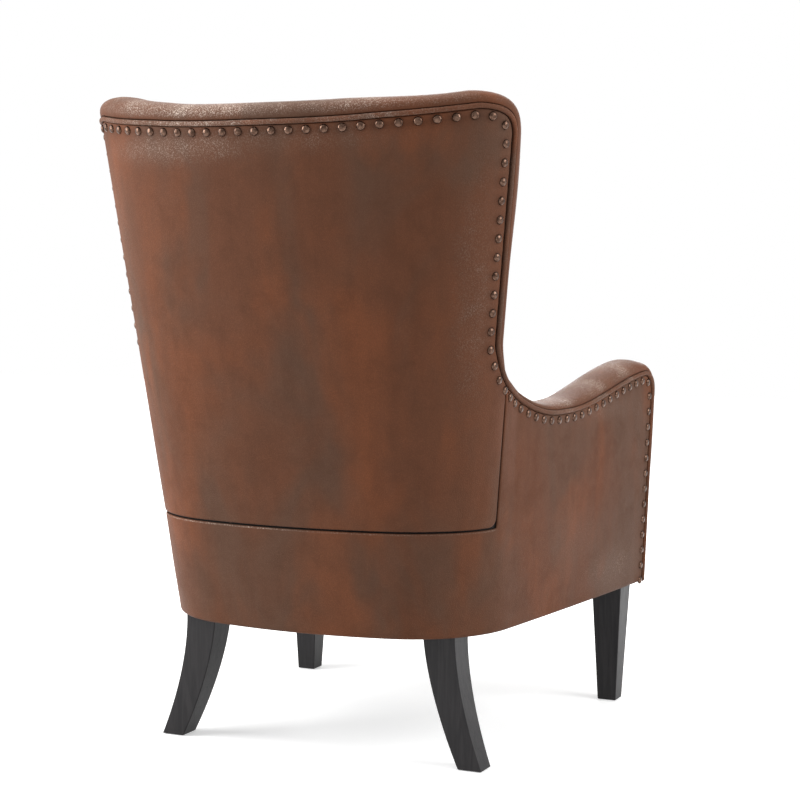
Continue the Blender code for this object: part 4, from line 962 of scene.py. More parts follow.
class Finishes:
    """The finishes of the soft pieces, the nails and the legs."""

    # Painted glints on the rolls and piping: the light colour of the specks and their share.
    GLINT: Colour = (0.56, 0.46, 0.39)
    GLINT_SPECK = 0.85

    def __init__(self) -> None:
        """Build each finish once."""
        glint = {"rubbed": self.GLINT, "speck": self.GLINT_SPECK}
        self.outside = HideFinish("hide_outside").build()
        self.rolls = HideFinish(
            "hide_rolls", offset=(1.3, 0.4, 2.2), warm_share=0.55, **glint
        ).build()
        self.seat = HideFinish("hide_seat", offset=(4.1, 2.6, 0.7)).build()
        self.piping = HideFinish(
            "hide_piping", offset=(2.2, 5.1, 1.4), patch_scale=2.0, **glint
        ).build()
        self.nails = MetalFinish(
            "nail_bronze", bright=(0.13, 0.078, 0.056), dull=(0.048, 0.026, 0.018), roughness=0.32
        ).build()
        self.legs = TimberFinish(
            "leg_ebonised", dark=(0.009, 0.008, 0.009), light=(0.02, 0.018, 0.019),
            stretch=(90.0, 90.0, 5.0), roughness=0.42, shine=0.22, relief=0.12,
        ).build()
        # Near-black cloth: the dust cover under the frame, and a sheet of painted shade in the gap
        # under the back.
        self.lining = ClothFinish(
            "black_cambric_and_gap_shade", thread=(0.012, 0.01, 0.009), gap=(0.004, 0.003, 0.003)
        ).build()
        self.deck = ClothFinish(
            "deck_twill", thread=(0.075, 0.055, 0.045), gap=(0.03, 0.022, 0.018)
        ).build()


@dataclass
class Shell:
    """Leaning, barrel-shaped outside of the chair."""

    base: float = 0.193
    back_y: float = 0.275
    back_radius: float = 0.671
    back_turn: float = math.radians(12.5)
    corner_radius: float = 0.1624
    splay_rear: float = math.radians(7.1)
    splay_front: float = math.radians(4.5)
    side_length: float = 0.49
    back_lean: float = 0.1563
    side_lean: float = 0.0443
    turn: Ease = Ease(math.radians(4.0), math.radians(40.0))
    normal_step: float = 0.004
    fine_steps: int = 1200

    def __post_init__(self) -> None:
        """Work out the arcs of the plan, each as (start, end, radius, first angle, centre)."""
        corner_angle = math.pi / 2 - self.back_turn
        side_radius = self.side_length / (self.splay_rear - self.splay_front)
        runs = (
            (self.back_radius, math.pi / 2, corner_angle),
            (self.corner_radius, corner_angle, self.splay_rear),
            (side_radius, self.splay_rear, self.splay_front),
        )
        point, start = np.array([0.0, self.back_y]), 0.0
        self.arcs = []
        for radius, first, last in runs:
            centre = point - radius * np.array([math.cos(first), math.sin(first)])
            end = start + radius * (first - last)
            self.arcs.append((start, end, radius, first, centre))
            point, start = centre + radius * np.array([math.cos(last), math.sin(last)]), end
        self.corner_end, self.end = self.arcs[1][1], start
        self.front = point

    def at(self, s: Array, z: Array, depth: Array = 0.0) -> Array:
        """Points in space of points given in shell coordinates.

        Args:
            s: Places along the shell.
            z: Heights.
            depth: Depths inside the outside face.

        Returns:
            Points, one row each.
        """
        s, z, depth = np.broadcast_arrays(*(np.asarray(value, float) for value in (s, z, depth)))
        reach = np.abs(s)
        angle = np.full(reach.shape, self.splay_front)
        ahead = np.array([math.sin(self.splay_front), -math.cos(self.splay_front)])
        plan = self.front + (reach - self.end)[..., None] * ahead
        for start, end, radius, first, centre in self.arcs:
            here = (reach >= start) & (reach <= end)
            angle[here] = first - (reach[here] - start) / radius
            plan[here] = centre + radius * np.stack([np.cos(angle[here]), np.sin(angle[here])], -1)
        lean = blend(self.side_lean, self.back_lean, self.turn.at(angle))
        normal = np.stack([np.cos(angle), np.sin(angle)], -1)
        plan = plan + normal * (lean * (z - self.base) - depth)[..., None]
        return np.stack([np.where(s < 0, -1.0, 1.0) * plan[..., 0], plan[..., 1], z], axis=-1)

    def over(self, flat: Array, depth: Array = 0.0) -> Array:
        """Points in space of points (s, z) at a depth."""
        return self.at(flat[:, 0], flat[:, 1], depth)

    def inward(self, s: Array, z: Array) -> Array:
        """Level directions into the shell, not of length 1."""
        return self.at(s, z, 0.1) - self.at(s, z)

    def outward(self, flat: Array) -> Array:
        """Unit normals that point out of the shell.

        Args:
            flat: Points (s, z).

        Returns:
            One normal for each point.
        """
        (s, z), step = flat.T, self.normal_step
        along = self.at(s + step, z) - self.at(s - step, z)
        up = self.at(s, z + step) - self.at(s, z - step)
        normal = unit(np.cross(along, up))
        inside = (normal * self.inward(s, z)).sum(-1) > 0
        return normal * np.where(inside, -1.0, 1.0)[:, None]

    def spaced(self, line: Array, pitch: float) -> Array:
        """Places along a line at equal true distances.

        Args:
            line: Points (s, z).
            pitch: Distance to come near.

        Returns:
            Points (s, z).
        """
        fine = resample(line, self.fine_steps)
        lengths = walked(self.over(fine))
        return marked(fine, lengths, max(1, round(lengths[-1] / pitch)))


@dataclass
class Joint:
    """Gaps between the units and the way the covers meet the piping."""

    gap_s: float = 0.3
    gap: float = 0.004
    shown: float = 0.0024
    seam: float = 0.3516
    to_welt: float = 0.004
    rise: float = 0.0015
    skin: float = 0.0013
    gap_tuck: float = 0.0034
    welt_tuck: float = 0.0024
    sole_tuck: float = 0.006
    inset: float = 0.01


@dataclass(frozen=True)
class Wear:
    """Place where the hide is polished by rubbing and glints are painted, in shell coordinates."""

    s: float
    z: float
    half_s: float
    half_z: float
    strength: float = 1.0

    def at(self, flat: Array) -> Array:
        """Strength of the wear at each point (s, z)."""
        away = (flat - [self.s, self.z]) / [self.half_s, self.half_z]
        return self.strength * np.exp(-(away ** 2).sum(axis=1))


def worn(flat: Array, places: Sequence[Wear]) -> Array:
    """Greatest strength of polish and painted glint at each point (s, z)."""
    return np.maximum.reduce([place.at(flat) for place in places])


def dimples(flat: Array, places: Array, depth: float, width: float) -> Array:
    """How far nails draw a cover in.

    Args:
        flat: Points (s, z) of the cover.
        places: Nail places (s, z).
        depth: Depth under a nail.
        width: Width of one dimple.

    Returns:
        Depth to add at each point.
    """
    result = np.zeros(len(flat))
    for place in places:
        away = ((flat - place) ** 2).sum(axis=1) / width ** 2
        result = np.maximum(result, depth * np.exp(-away))
    return result


@dataclass
class Trim:
    """Piping and nailheads, made the same way on the back and on both arms."""

    shell: Shell
    finishes: Finishes
    welt_radius: float = 0.0037
    welt_depth: float = -0.001
    welt_sides: int = 12
    welt_pitch: float = 0.0035
    welt_rub: tuple = (0.1, 0.6)
    nail_radius: float = 0.0063
    nail_height: float = 0.0034
    nail_pitch: float = 0.026
    nail_inset: float = 0.012
    nail_lift: float = 0.001
    nail_tilt: float = 0.05
    nail_tilt_steps: tuple = (2.3, 3.1, 1.7)
    nail_sides: int = 16
    nail_profile: tuple = (
        (0.9, -0.3), (1.00, -0.05), (1.00, 0.1), (0.93, 0.38), (0.78, 0.66), (0.55, 0.87),
        (0.28, 0.97),
    )

    def nail_places(self, line: Array) -> Array:
        """Nail places (s, z) along a piping line."""
        return self.shell.spaced(shifted(line, -self.nail_inset), self.nail_pitch)

    def piping(self, name: str, line: Array, sign: float, node: str, wear: Sequence[Wear]) -> None:
        """Lay covered cord along a line.

        Args:
            name: Name of the piece.
            line: Points (s, z).
            sign: 1, or -1 to mirror the line.
            node: CAD node that it stands for.
            wear: Places where it is polished and glints are painted.
        """
        places = self.shell.spaced(line, self.welt_pitch) * [sign, 1.0]
        shape = tube(self.shell.over(places, self.welt_depth), self.welt_radius, self.welt_sides)
        # Painted glints along the piping, strongest at the glint places.
        least, most = self.welt_rub
        rub = np.pad(least + most * worn(places, wear), len(CORD_END_STEPS), mode="edge")
        masks = {"rub": np.repeat(rub, self.welt_sides), "crease": np.zeros(len(shape[0]))}
        make_piece(name, shape, self.finishes.piping, [node], masks=masks)

    def tilt(self, index: int) -> Vector:
        """Slight lean of one nail of a row, since nails are driven by hand."""
        a, b, c = (index * step for step in self.nail_tilt_steps)
        return Vector((math.sin(a), math.cos(b), math.sin(c))) * self.nail_tilt

    def nails(self, name: str, line: Array, sign: float, node: str) -> None:
        """Drive a row of domed nailheads beside a piping line.

        Args:
            name: Name of the piece.
            line: Points (s, z) of the piping.
            sign: 1, or -1 to mirror the line.
            node: CAD node that it stands for.
        """
        head, faces = turned(self.nail_profile, self.nail_radius, self.nail_height, self.nail_sides)
        places = self.nail_places(line) * [sign, 1.0]
        normals = self.shell.outward(places)
        seats = self.shell.over(places) + normals * self.nail_lift
        points, all_faces = [], []
        for index, (seat, normal) in enumerate(zip(seats, normals)):
            up = Vector(normal) + self.tilt(index)
            turn = np.array(Vector((0.0, 0.0, 1.0)).rotation_difference(up).to_matrix())
            points.append(seat + head @ turn.T)
            all_faces += [[index * len(head) + k for k in face] for face in faces]
        shape = np.concatenate(points), all_faces
        make_piece(name, shape, self.finishes.nails, [node])


@dataclass
class RolledPad:
    """Pad over a frame, whose edge rolls outwards round the frame to the piping line."""

    shell: Shell
    rim: Array
    inner: Array
    count_u: int
    rim_ids: Sequence[int]
    rolls: Array
    wrap: Callable[[Array], Array]
    roll_depth: float
    near_depth: float
    thickness: Callable[[Array], Array]
    edge_round: float
    edge_depth: float = 0.0046
    rim_inset: float = 0.008
    rim_step: float = 0.001
    roll_start: float = 0.0034
    roll_wall: float = 0.0008
    roll_power: float = 1.25
    roll_rows: int = 22
    row_power: float = 1.6
    backing: float = 0.008
    face_depth: float = -0.0012
    bulge: float = 0.0016
    bulge_turn: float = math.radians(72.0)
    crease_turn: float = 0.03
    crease_dark: float = 0.55
    crease_fade: Ease = Ease(0.02, 0.08)
    rub_turn: Ease = Ease(0.04, 0.5)
    rub_least: float = 0.12
    inside_rub: float = 0.8
    fill: float = 0.85

    def middle(self, z: Array) -> Array:
        """Depth of the middle of the rolled edge at each height."""
        return blend(self.near_depth + self.backing, self.roll_depth, self.wrap(z))

    def layout(self) -> tuple[Array, Faces, Array, Array, Array, Array]:
        """Work out the pad's two sheets.

        Returns:
            Flat points, faces, depths of both sheets, and the rub and crease masks of both: painted
            glints on the roll, painted shade by the piping.
        """
        z, plain = self.rim[:, 1], len(self.inner)
        wrap, middle, normals = self.wrap(z), self.middle(z), line_normals(self.rim)
        start, face = (blend(self.near_depth, d, wrap) for d in (self.edge_depth, self.face_depth))
        flat = [self.inner, self.rim + normals * (self.rim_step - self.rim_inset)]
        near = [np.full(plain, self.near_depth), start]
        rub = [np.zeros(plain + len(z))]
        # Painted shade in the groove by the piping, fading up the roll.
        crease = [np.zeros(plain), self.crease_dark * wrap]
        for turn in math.pi / 2 * np.linspace(0.0, 1.0, self.roll_rows) ** self.row_power:
            reach = blend(self.roll_start, self.rolls, math.sin(turn))
            swell = self.bulge * math.sin(math.pi * min(1.0, turn / self.bulge_turn))
            hollow = (start - face) * math.exp(-(turn / self.crease_turn) ** 2)
            sunk = (middle - self.roll_wall - face) * (1.0 - math.cos(turn)) ** self.roll_power
            flat.append(self.rim + normals * reach[:, None])
            near.append(face + sunk - swell * wrap + hollow)
            # Painted glints over the top of the roll.
            rub.append(self.rub_turn.at(turn) * wrap)
            crease.append(self.crease_dark * (1.0 - self.crease_fade.at(turn)) * wrap)
        flat, near = np.concatenate(flat), np.concatenate(near)
        rows = np.arange(plain, len(flat)).reshape(-1, len(z))
        faces = grid_faces(self.count_u, plain // (self.count_u + 1) - 1)
        faces += strip_faces([self.rim_ids, *rows], loop=False)
        inside = distance_to(flat[rows[-1]], flat) / self.edge_round
        lip = self.middle(flat[:, 1]) + self.roll_wall
        far = blend(lip, self.thickness(flat), quarter(inside))
        far[rows[-1]] = middle + self.roll_wall
        # Painted glints along the inner edge of the sitting side.
        rub.append(self.inside_rub * (1.0 - smoothstep(inside)))
        crease.append(np.zeros(len(flat)))
        return flat, faces, near, far, np.concatenate(rub), np.concatenate(crease)

    def make(
        self, name: str, node: str, material: Material, wear: Sequence[Wear], sign: float = 1.0
    ) -> None:
        """Make the pad.

        Args:
            name: Name of the piece.
            node: CAD node that it stands for.
            material: Finish.
            wear: Places where its roll is polished and glints are painted.
            sign: 1, or -1 to mirror it.
        """
        flat, faces, near, far, rub, crease = self.layout()
        flat = flat * [sign, 1.0]
        # Painted glints are patchy, strongest at the glint places.
        patchy = blend(self.rub_least, 1.0, worn(flat, wear))
        masks = {"rub": rub * np.tile(patchy, 2), "crease": crease}
        shape = solid_between(self.shell.over(flat, near), self.shell.over(flat, far), faces)
        make_piece(name, shape, material, [node], masks=masks)


@dataclass
class Skin:
    """Taut cover over part of the shell, rolled in along its whole edge."""

    shell: Shell
    joint: Joint
    loop: Array
    tuck: Array
    nails: Array
    slack: float
    slack_size: float
    slack_seed: float
    slack_settle: float
    swell_settle: float
    swell: float = 0.0008
    pull: float = 0.0008
    pull_width: float = 0.0085
    shade: float = 0.45
    shade_width: float = 0.0075
    crease_power: int = 4
    edge_angles: tuple = (90.0, 73.0, 56.0, 42.0, 28.0, 14.0, 0.0)

    def inset_loop(self) -> Array:
        """The loop where the flat of the cover begins."""
        return self.loop - line_normals(self.loop, loop=True) * self.joint.inset

    def depth_at(self, grid: Array) -> Array:
        """Depth of the flat: swollen, a little slack, and drawn in under each nail.

        Args:
            grid: Flat points (s, z).

        Returns:
            One depth for each point.
        """
        inside = distance_to(closed(self.loop), grid) - self.joint.inset
        slack = self.slack * ripple(self.shell.over(grid), self.slack_size, self.slack_seed)
        depth = slack * smoothstep(inside / self.slack_settle) - self.joint.rise
        depth = depth - self.swell * smoothstep(inside / self.swell_settle)
        return depth + dimples(grid, self.nails, self.pull, self.pull_width)

    def make(
        self,
        name: str,
        node: str,
        material: Material,
        flat_shape: tuple[Array, Faces, Sequence[int]],
        rub: Callable[[Array, Array], Array],
    ) -> None:
        """Make the cover as a thin closed skin.

        Args:
            name: Name of the piece.
            node: CAD node that it stands for.
            material: Finish.
            flat_shape: Points (s, z) and faces of the flat, and its border points along the loop.
            rub: Polish and painted glints at points (s, z), given their folds: 1 at the edge, 0 on
                the flat.
        """
        grid, faces, ids = flat_shape
        normals, depth = line_normals(self.loop, loop=True), self.depth_at(grid)
        flat, depths, folds = [grid], [depth], [np.zeros(len(grid))]
        for angle in np.radians(self.edge_angles):
            flat.append(self.loop - normals * (self.tuck * (1.0 - math.cos(angle)))[:, None])
            depths.append(depth[ids] + self.tuck * (1.0 - math.sin(angle)))
            folds.append(np.full(len(ids), 1.0 - math.sin(angle)))
        flat, depths, fold = (np.concatenate(rows) for rows in (flat, depths, folds))
        points = self.shell.over(flat, depths)
        rows = np.arange(len(grid), len(flat)).reshape(-1, len(ids))
        faces = faces + strip_faces([ids, *rows], loop=True)
        a, b, c = points[faces[0][:3]]
        normal = np.cross(b - a, c - a)
        if normal[:2] @ (a - points.mean(axis=0))[:2] < 0 and normal[1] < 0:
            faces = [face[::-1] for face in faces]
        # Painted shade round each nail, and in the fold where the cover rolls in.
        shade = dimples(grid, self.nails, self.shade, self.shade_width)
        crease = np.concatenate([shade, fold[len(grid):] ** self.crease_power])
        masks = {"rub": rub(flat, fold), "crease": crease}
        piece = make_piece(
            name, (points, faces), material, [node], masks=masks, solid=False
        )
        skin = piece.modifiers.new("skin", "SOLIDIFY")
        skin.thickness = self.joint.skin
        skin.offset = -1.0


@dataclass
class BackUnit:
    """Upholstered back: outside cover, tufted pad with rolled edge, piping, nails and buttons."""

    shell: Shell
    joint: Joint
    trim: Trim
    finishes: Finishes
    arm_line: Callable[[Array], Array]
    bottom: float = 0.3536
    crest: float = 0.9275
    crest_rise: float = 0.0185
    crest_rise_at: float = 0.23
    wing_edge: float = 0.2725
    wing_corner: float = 0.04
    crook: Ease = Ease(0.555, 0.07)
    crook_s: float = 0.318
    crook_top: float = 0.588
    wrap: Ease = Ease(0.547, 0.025)
    crest_roll: float = 0.03
    crest_end: Ease = Ease(0.1, 0.12)
    corner_roll: float = 0.025
    wing_roll: float = 0.018
    wing_swell: Ease = Ease(0.7, 0.13)
    low_roll: float = 0.0065
    uneven: tuple = (0.008, -0.0025)
    wing_puff: float = 0.0042
    wing_puff_at: float = 0.85
    wing_puff_span: float = 0.06
    roll_depth: float = 0.034
    pad_near: float = 0.0431
    pad_depth: float = 0.124
    crown: float = 0.012
    edge_round: float = 0.055
    side_steps: tuple = (4, 4, 4, 3)
    crest_steps: tuple = (3, 6)
    finer: int = 6
    tuft_rows: tuple = ((4, (5, 9, 13)), (9, (7, 11)), (11, (5, 9, 13)))
    tuft_depth: float = 0.026
    tuft_reach: float = 0.056
    pleat_depth: float = 0.011
    pleat_width: float = 0.012
    pleat_longest: float = 0.21
    pleat_flare: tuple = (1.04, 1.02)
    pleat_ends: tuple = (0.02, 0.015)
    button_radius: float = 0.0125
    button_height: float = 0.007
    button_sides: int = 24
    button_gathers: int = 8
    button_gather: float = 0.02
    button_gather_top: float = 0.45
    button_rub: float = 0.6
    button_crease: float = 0.8
    button_out: Ease = Ease(-0.002, 0.003)
    button_fill: float = 0.95
    button_profile: tuple = (
        (0.8, -0.55), (1.00, -0.15), (1.04, 0.15), (0.98, 0.42), (0.84, 0.68), (0.62, 0.87),
        (0.34, 0.97), (0.1, 1.0),
    )
    lower_corner: float = 0.013
    tuck_change: Ease = Ease(0.555, 0.02)
    cover_columns: int = 118
    cover_rows: int = 112
    # Patches of polish and painted glints on the back's rolls and piping.
    crest_wear: tuple = (
        Wear(0.085, 0.95, 0.105, 0.08, 1.7),
        Wear(-0.13, 0.96, 0.06, 0.08, 0.8),
        Wear(0.24, 0.96, 0.04, 0.08, 0.3),
    )
    # Polish and painted glints on the back's outside cover: a line below the nails and strips up
    # the wings.
    cover_wear: tuple = (
        Wear(0.12, 0.897, 0.08, 0.018, 1.05),
        Wear(-0.05, 0.905, 0.1, 0.016, 0.35),
        Wear(0.23, 0.8, 0.03, 0.14, 0.22),
        Wear(-0.24, 0.7, 0.02, 0.16, 0.25),
    )

    def crest_height(self, s: Array) -> Array:
        """Height of the upper piping line."""
        reach = np.minimum(np.abs(s), self.wing_edge - self.wing_corner)
        return self.crest + self.crest_rise * (reach / self.crest_rise_at) ** 3

    def wing_edge_at(self, z: Array) -> Array:
        """Place of the front edge along s at a height."""
        low = self.joint.gap_s - self.joint.gap / 2 - self.low_roll
        return blend(low, self.wing_edge, self.crook.at(z))

    def wing_run(self, low: float, high: float, steps: int) -> Array:
        """Front edge between two heights."""
        z = np.linspace(low, high, steps + 1)
        return np.stack([self.wing_edge_at(z), z], -1)

    def half_line(self) -> tuple[list[Array], list[Array]]:
        """Piping line of one half, in pieces.

        Returns:
            The side from the bottom up, and the crest from the corner to the middle.
        """
        t, half = np.linspace(0.0, 1.0, CORNER_STEPS + 1), CORNER_STEPS // 2
        top = float(self.crest_height(self.wing_edge - self.wing_corner))
        corner_s = self.wing_edge - self.wing_corner * t ** 2
        corner = np.stack([corner_s, top - self.wing_corner * (1 - t) ** 2], -1)
        marks = (self.bottom, self.crook.low, self.crook.high, corner[0, 1])
        side = [self.wing_run(low, high, RUN_STEPS) for low, high in zip(marks, marks[1:])]
        s = corner[-1, 0] * np.linspace(1.0, 0.0, RUN_STEPS + 1)
        crest = np.stack([s, self.crest_height(s)], -1)
        return side + [corner[:half + 1]], [corner[half:], crest]

    def rim(self, finer: int) -> Array:
        """Piping line up one side, along the crest and down the other, in shared steps."""
        steps = self.side_steps, self.crest_steps
        return both_halves(stepped(self.half_line(), steps, finer))

    def grid(self, finer: int) -> tuple[Array, int, list[int]]:
        """Flat grid of the pad inside its rim.

        Args:
            finer: Cells to each step.

        Returns:
            Points, cells in a row, and the border points that follow the rim.
        """
        inner = shifted(self.rim(finer), -RolledPad.rim_inset)
        inner[0, 1] = inner[-1, 1] = self.bottom
        count_v, count_u = finer * sum(self.side_steps), 2 * finer * sum(self.crest_steps)
        right, top = inner[:count_v + 1], inner[count_v:count_v + count_u + 1]
        left = inner[count_v + count_u:]
        points = coons(between(left[-1], right[0], count_u), right, top[::-1], left[::-1])
        ring = border_ids(count_u, count_v)
        return points, count_u, ring[count_u:] + [ring[0]]

    def tufts(self) -> list[Array]:
        """Rows of tuft places (s, z), from below."""
        points, count_u, _ = self.grid(1)
        return [points[row * (count_u + 1) + np.array(columns)] for row, columns in self.tuft_rows]

    def pleats(self) -> list[Array]:
        """Folds between neighbouring tufts, and from the outer tufts to the pad's edges.

        Returns:
            Lines of two points (s, z).
        """
        rows, result = self.tufts(), []
        for lower, upper in zip(rows, rows[1:]):
            for a in lower:
                near = sorted(upper, key=lambda b: float(np.linalg.norm(a - b)))[:2]
                near = [b for b in near if np.linalg.norm(a - b) < self.pleat_longest]
                result += [np.array([a, b]) for b in near]
        ends = self.bottom + self.pleat_ends[0], self.crest - self.pleat_ends[1]
        for row, flare, end in zip((rows[0], rows[-1]), self.pleat_flare, ends):
            result += [np.array([a, [a[0] * flare, end]]) for a in row]
        return result

    def thickness(self, flat: Array) -> Array:
        """Depth of the sitting side, with tufts and the pleats between them.

        Args:
            flat: Points (s, z).

        Returns:
            One depth for each point.
        """
        rise = np.clip((flat[:, 1] - self.bottom) / (self.crest - self.bottom), 0.0, 1.0)
        depth = self.pad_depth + self.crown * np.sin(math.pi * rise)
        for tuft in np.concatenate(self.tufts()):
            away = np.linalg.norm(flat - tuft, axis=1) / self.tuft_reach
            depth = depth - self.tuft_depth * np.maximum(0.0, 1.0 - away) ** 2
        away = np.minimum.reduce([distance_to(pleat, flat) for pleat in self.pleats()])
        return depth - self.pleat_depth * np.exp(-(away / self.pleat_width) ** 2)

    def rolls(self, rim: Array) -> Array:
        """Height of the roll beyond each point of the rim, a little uneven from side to side.

        Args:
            rim: Points (s, z).

        Returns:
            One height for each point.
        """
        s, z = rim[:, 0], rim[:, 1]
        wing = blend(self.low_roll, self.wing_roll, self.crook.at(z))
        wing = wing + (self.corner_roll - self.wing_roll) * self.wing_swell.at(z)
        wing = wing + self.wing_puff * np.exp(-((z - self.wing_puff_at) / self.wing_puff_span) ** 2)
        aside, span = self.crest_end.at(np.abs(s)), 2 * self.wing_corner
        crest = blend(self.crest_roll, self.corner_roll, aside)
        crest = crest + np.where(s > 0, *self.uneven) * aside
        corner = Ease(float(self.crest_height(self.wing_edge)) - span, span)
        return blend(wing, crest, corner.at(z))

    def build_pad(self) -> None:
        """Make the back's padding with its rolled crest and wings."""
        rim = self.rim(self.finer)
        pad = RolledPad(
            self.shell, rim, *self.grid(self.finer), self.rolls(rim), self.wrap.at,
            self.roll_depth, self.pad_near, self.thickness, self.edge_round,
        )
        pad.make("back_cushion", "back_pad", self.finishes.rolls, self.crest_wear)

    def cover_runs(self) -> list[tuple[Array, int]]:
        """Edges of the outside cover.

        Returns:
            The bottom, right, upper and left edges, walked anticlockwise, with their steps.
        """
        half = self.joint.gap_s - self.joint.shown / 2
        base, to_welt = self.joint.seam + self.joint.shown / 2, self.joint.to_welt
        middle, corner, above = spots((0.0, base), (half, base), (half, self.crest))
        lower = fillet(middle, corner, above, self.lower_corner)
        cut = len(lower) // 2
        bottom = both_halves(np.concatenate([lower[:cut + 1][::-1], [middle]]) * MIRROR)
        side, crest = self.half_line()
        turn = shifted(joined([side[-1], crest[0]]), -to_welt)
        wing = shifted(joined(self.crook_line() + [side[2]]), -to_welt)
        z = np.linspace(lower[-1, 1], turn[0, 1], 4 * RUN_STEPS + 1)
        edge = np.stack([np.minimum(half, np.interp(z, wing[:, 1], wing[:, 0])), z], -1)
        s = turn[-1, 0] * np.linspace(1.0, 0.0, 3 * RUN_STEPS // 2 + 1)
        top = np.stack([s, self.crest_height(s) - to_welt], -1)
        cut_turn = len(turn) // 2
        right = joined([lower[cut:], edge, turn[:cut_turn + 1]])
        upper = both_halves(joined([turn[cut_turn:], top]))
        n_u, n_v = self.cover_columns, self.cover_rows
        return [(bottom, n_u), (right, n_v), (upper, n_u), (mirrored(right), n_v)]

    def build_cover(self) -> None:
        """Make the outside cover of the back."""
        runs, joint = self.cover_runs(), self.joint
        loop, (n_u, n_v) = loop_of(runs), (self.cover_columns, self.cover_rows)
        tuck = blend(joint.gap_tuck, joint.welt_tuck, self.tuck_change.at(loop[:, 1]))
        skin = Skin(
            self.shell, joint, loop, tuck, self.trim.nail_places(self.welt_line()), slack=0.0008,
            slack_size=0.16, slack_seed=3.0, slack_settle=0.05, swell_settle=0.09,
        )
        bottom, right, top, left = runs_of(skin.inset_loop(), [count for _, count in runs])
        grid = coons(bottom, right, top[::-1], left[::-1])
        skin.make(
            "back_outside", "back_cover", self.finishes.outside,
            (grid, grid_faces(n_u, n_v), border_ids(n_u, n_v)),
            lambda flat, fold: worn(flat, self.cover_wear),
        )

    def crook_line(self) -> list[Array]:
        """Piping line from the top of the arm up into the wing, in pieces.

        Returns:
            The curve and the run above it.
        """
        step, high = 0.001, self.crook_top
        start = np.array([self.crook_s, float(self.arm_line(self.crook_s))])
        slope = (float(self.arm_line(self.crook_s + step)) - start[1]) / step
        end = np.array([float(self.wing_edge_at(high)), high])
        lean = (float(self.wing_edge_at(high + step)) - end[0]) / step
        bend_z = (start[1] + slope * (end[0] - lean * high - start[0])) / (1.0 - slope * lean)
        bend = np.array([end[0] + lean * (bend_z - high), bend_z])
        t = np.linspace(0.0, 1.0, CROOK_STEPS + 1)[:, None]
        curve = start * (1 - t) ** 2 + bend * 2 * t * (1 - t) + end * t ** 2
        return [curve, self.wing_run(high, self.crook.high, RUN_STEPS // 2)]

    def welt_line(self) -> Array:
        """Whole piping line of the back, from one arm to the other."""
        side, crest = self.half_line()
        return both_halves(joined(self.crook_line() + side[2:] + crest))

    def build_buttons(self) -> None:
        """Make the covered buttons, each where its node is."""
        high = self.button_height
        shape, faces = turned(self.button_profile, self.button_radius, high, self.button_sides)
        x, y, z = shape.T
        waves = self.button_gather * np.cos(self.button_gathers * np.arctan2(y, x))
        gather = 1.0 + waves * (z < self.button_gather_top * high)
        shape = np.stack([x * gather, y * gather, z], -1)
        # Painted shade round the foot of each button, and painted glints towards its top.
        crease = self.button_crease * (1.0 - self.button_out.at(z))
        masks = {"rub": self.button_rub * smoothstep(z / high), "crease": crease}
        for index, (at_s, at_z) in enumerate(np.concatenate(self.tufts()), start=1):
            node = "tuft_button_%d" % index
            low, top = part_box(node)
            inward = Vector(self.shell.inward(at_s, at_z)).normalized()
            turn = np.array(Vector((0.0, 0.0, 1.0)).rotation_difference(inward).to_matrix())
            points = np.array((low + top) / 2 - inward * high / 2) + shape @ turn.T
            make_piece(
                "button_%d" % index, (points, faces), self.finishes.piping, [node],
                masks=masks,
            )

    def build(self) -> None:
        """Make every piece of the back."""
        self.build_pad()
        self.build_cover()
        self.trim.piping("back_piping", self.welt_line(), 1.0, "back_welt", self.crest_wear)
        self.trim.nails("back_nails", self.welt_line(), 1.0, "back_studs")
        self.build_buttons()


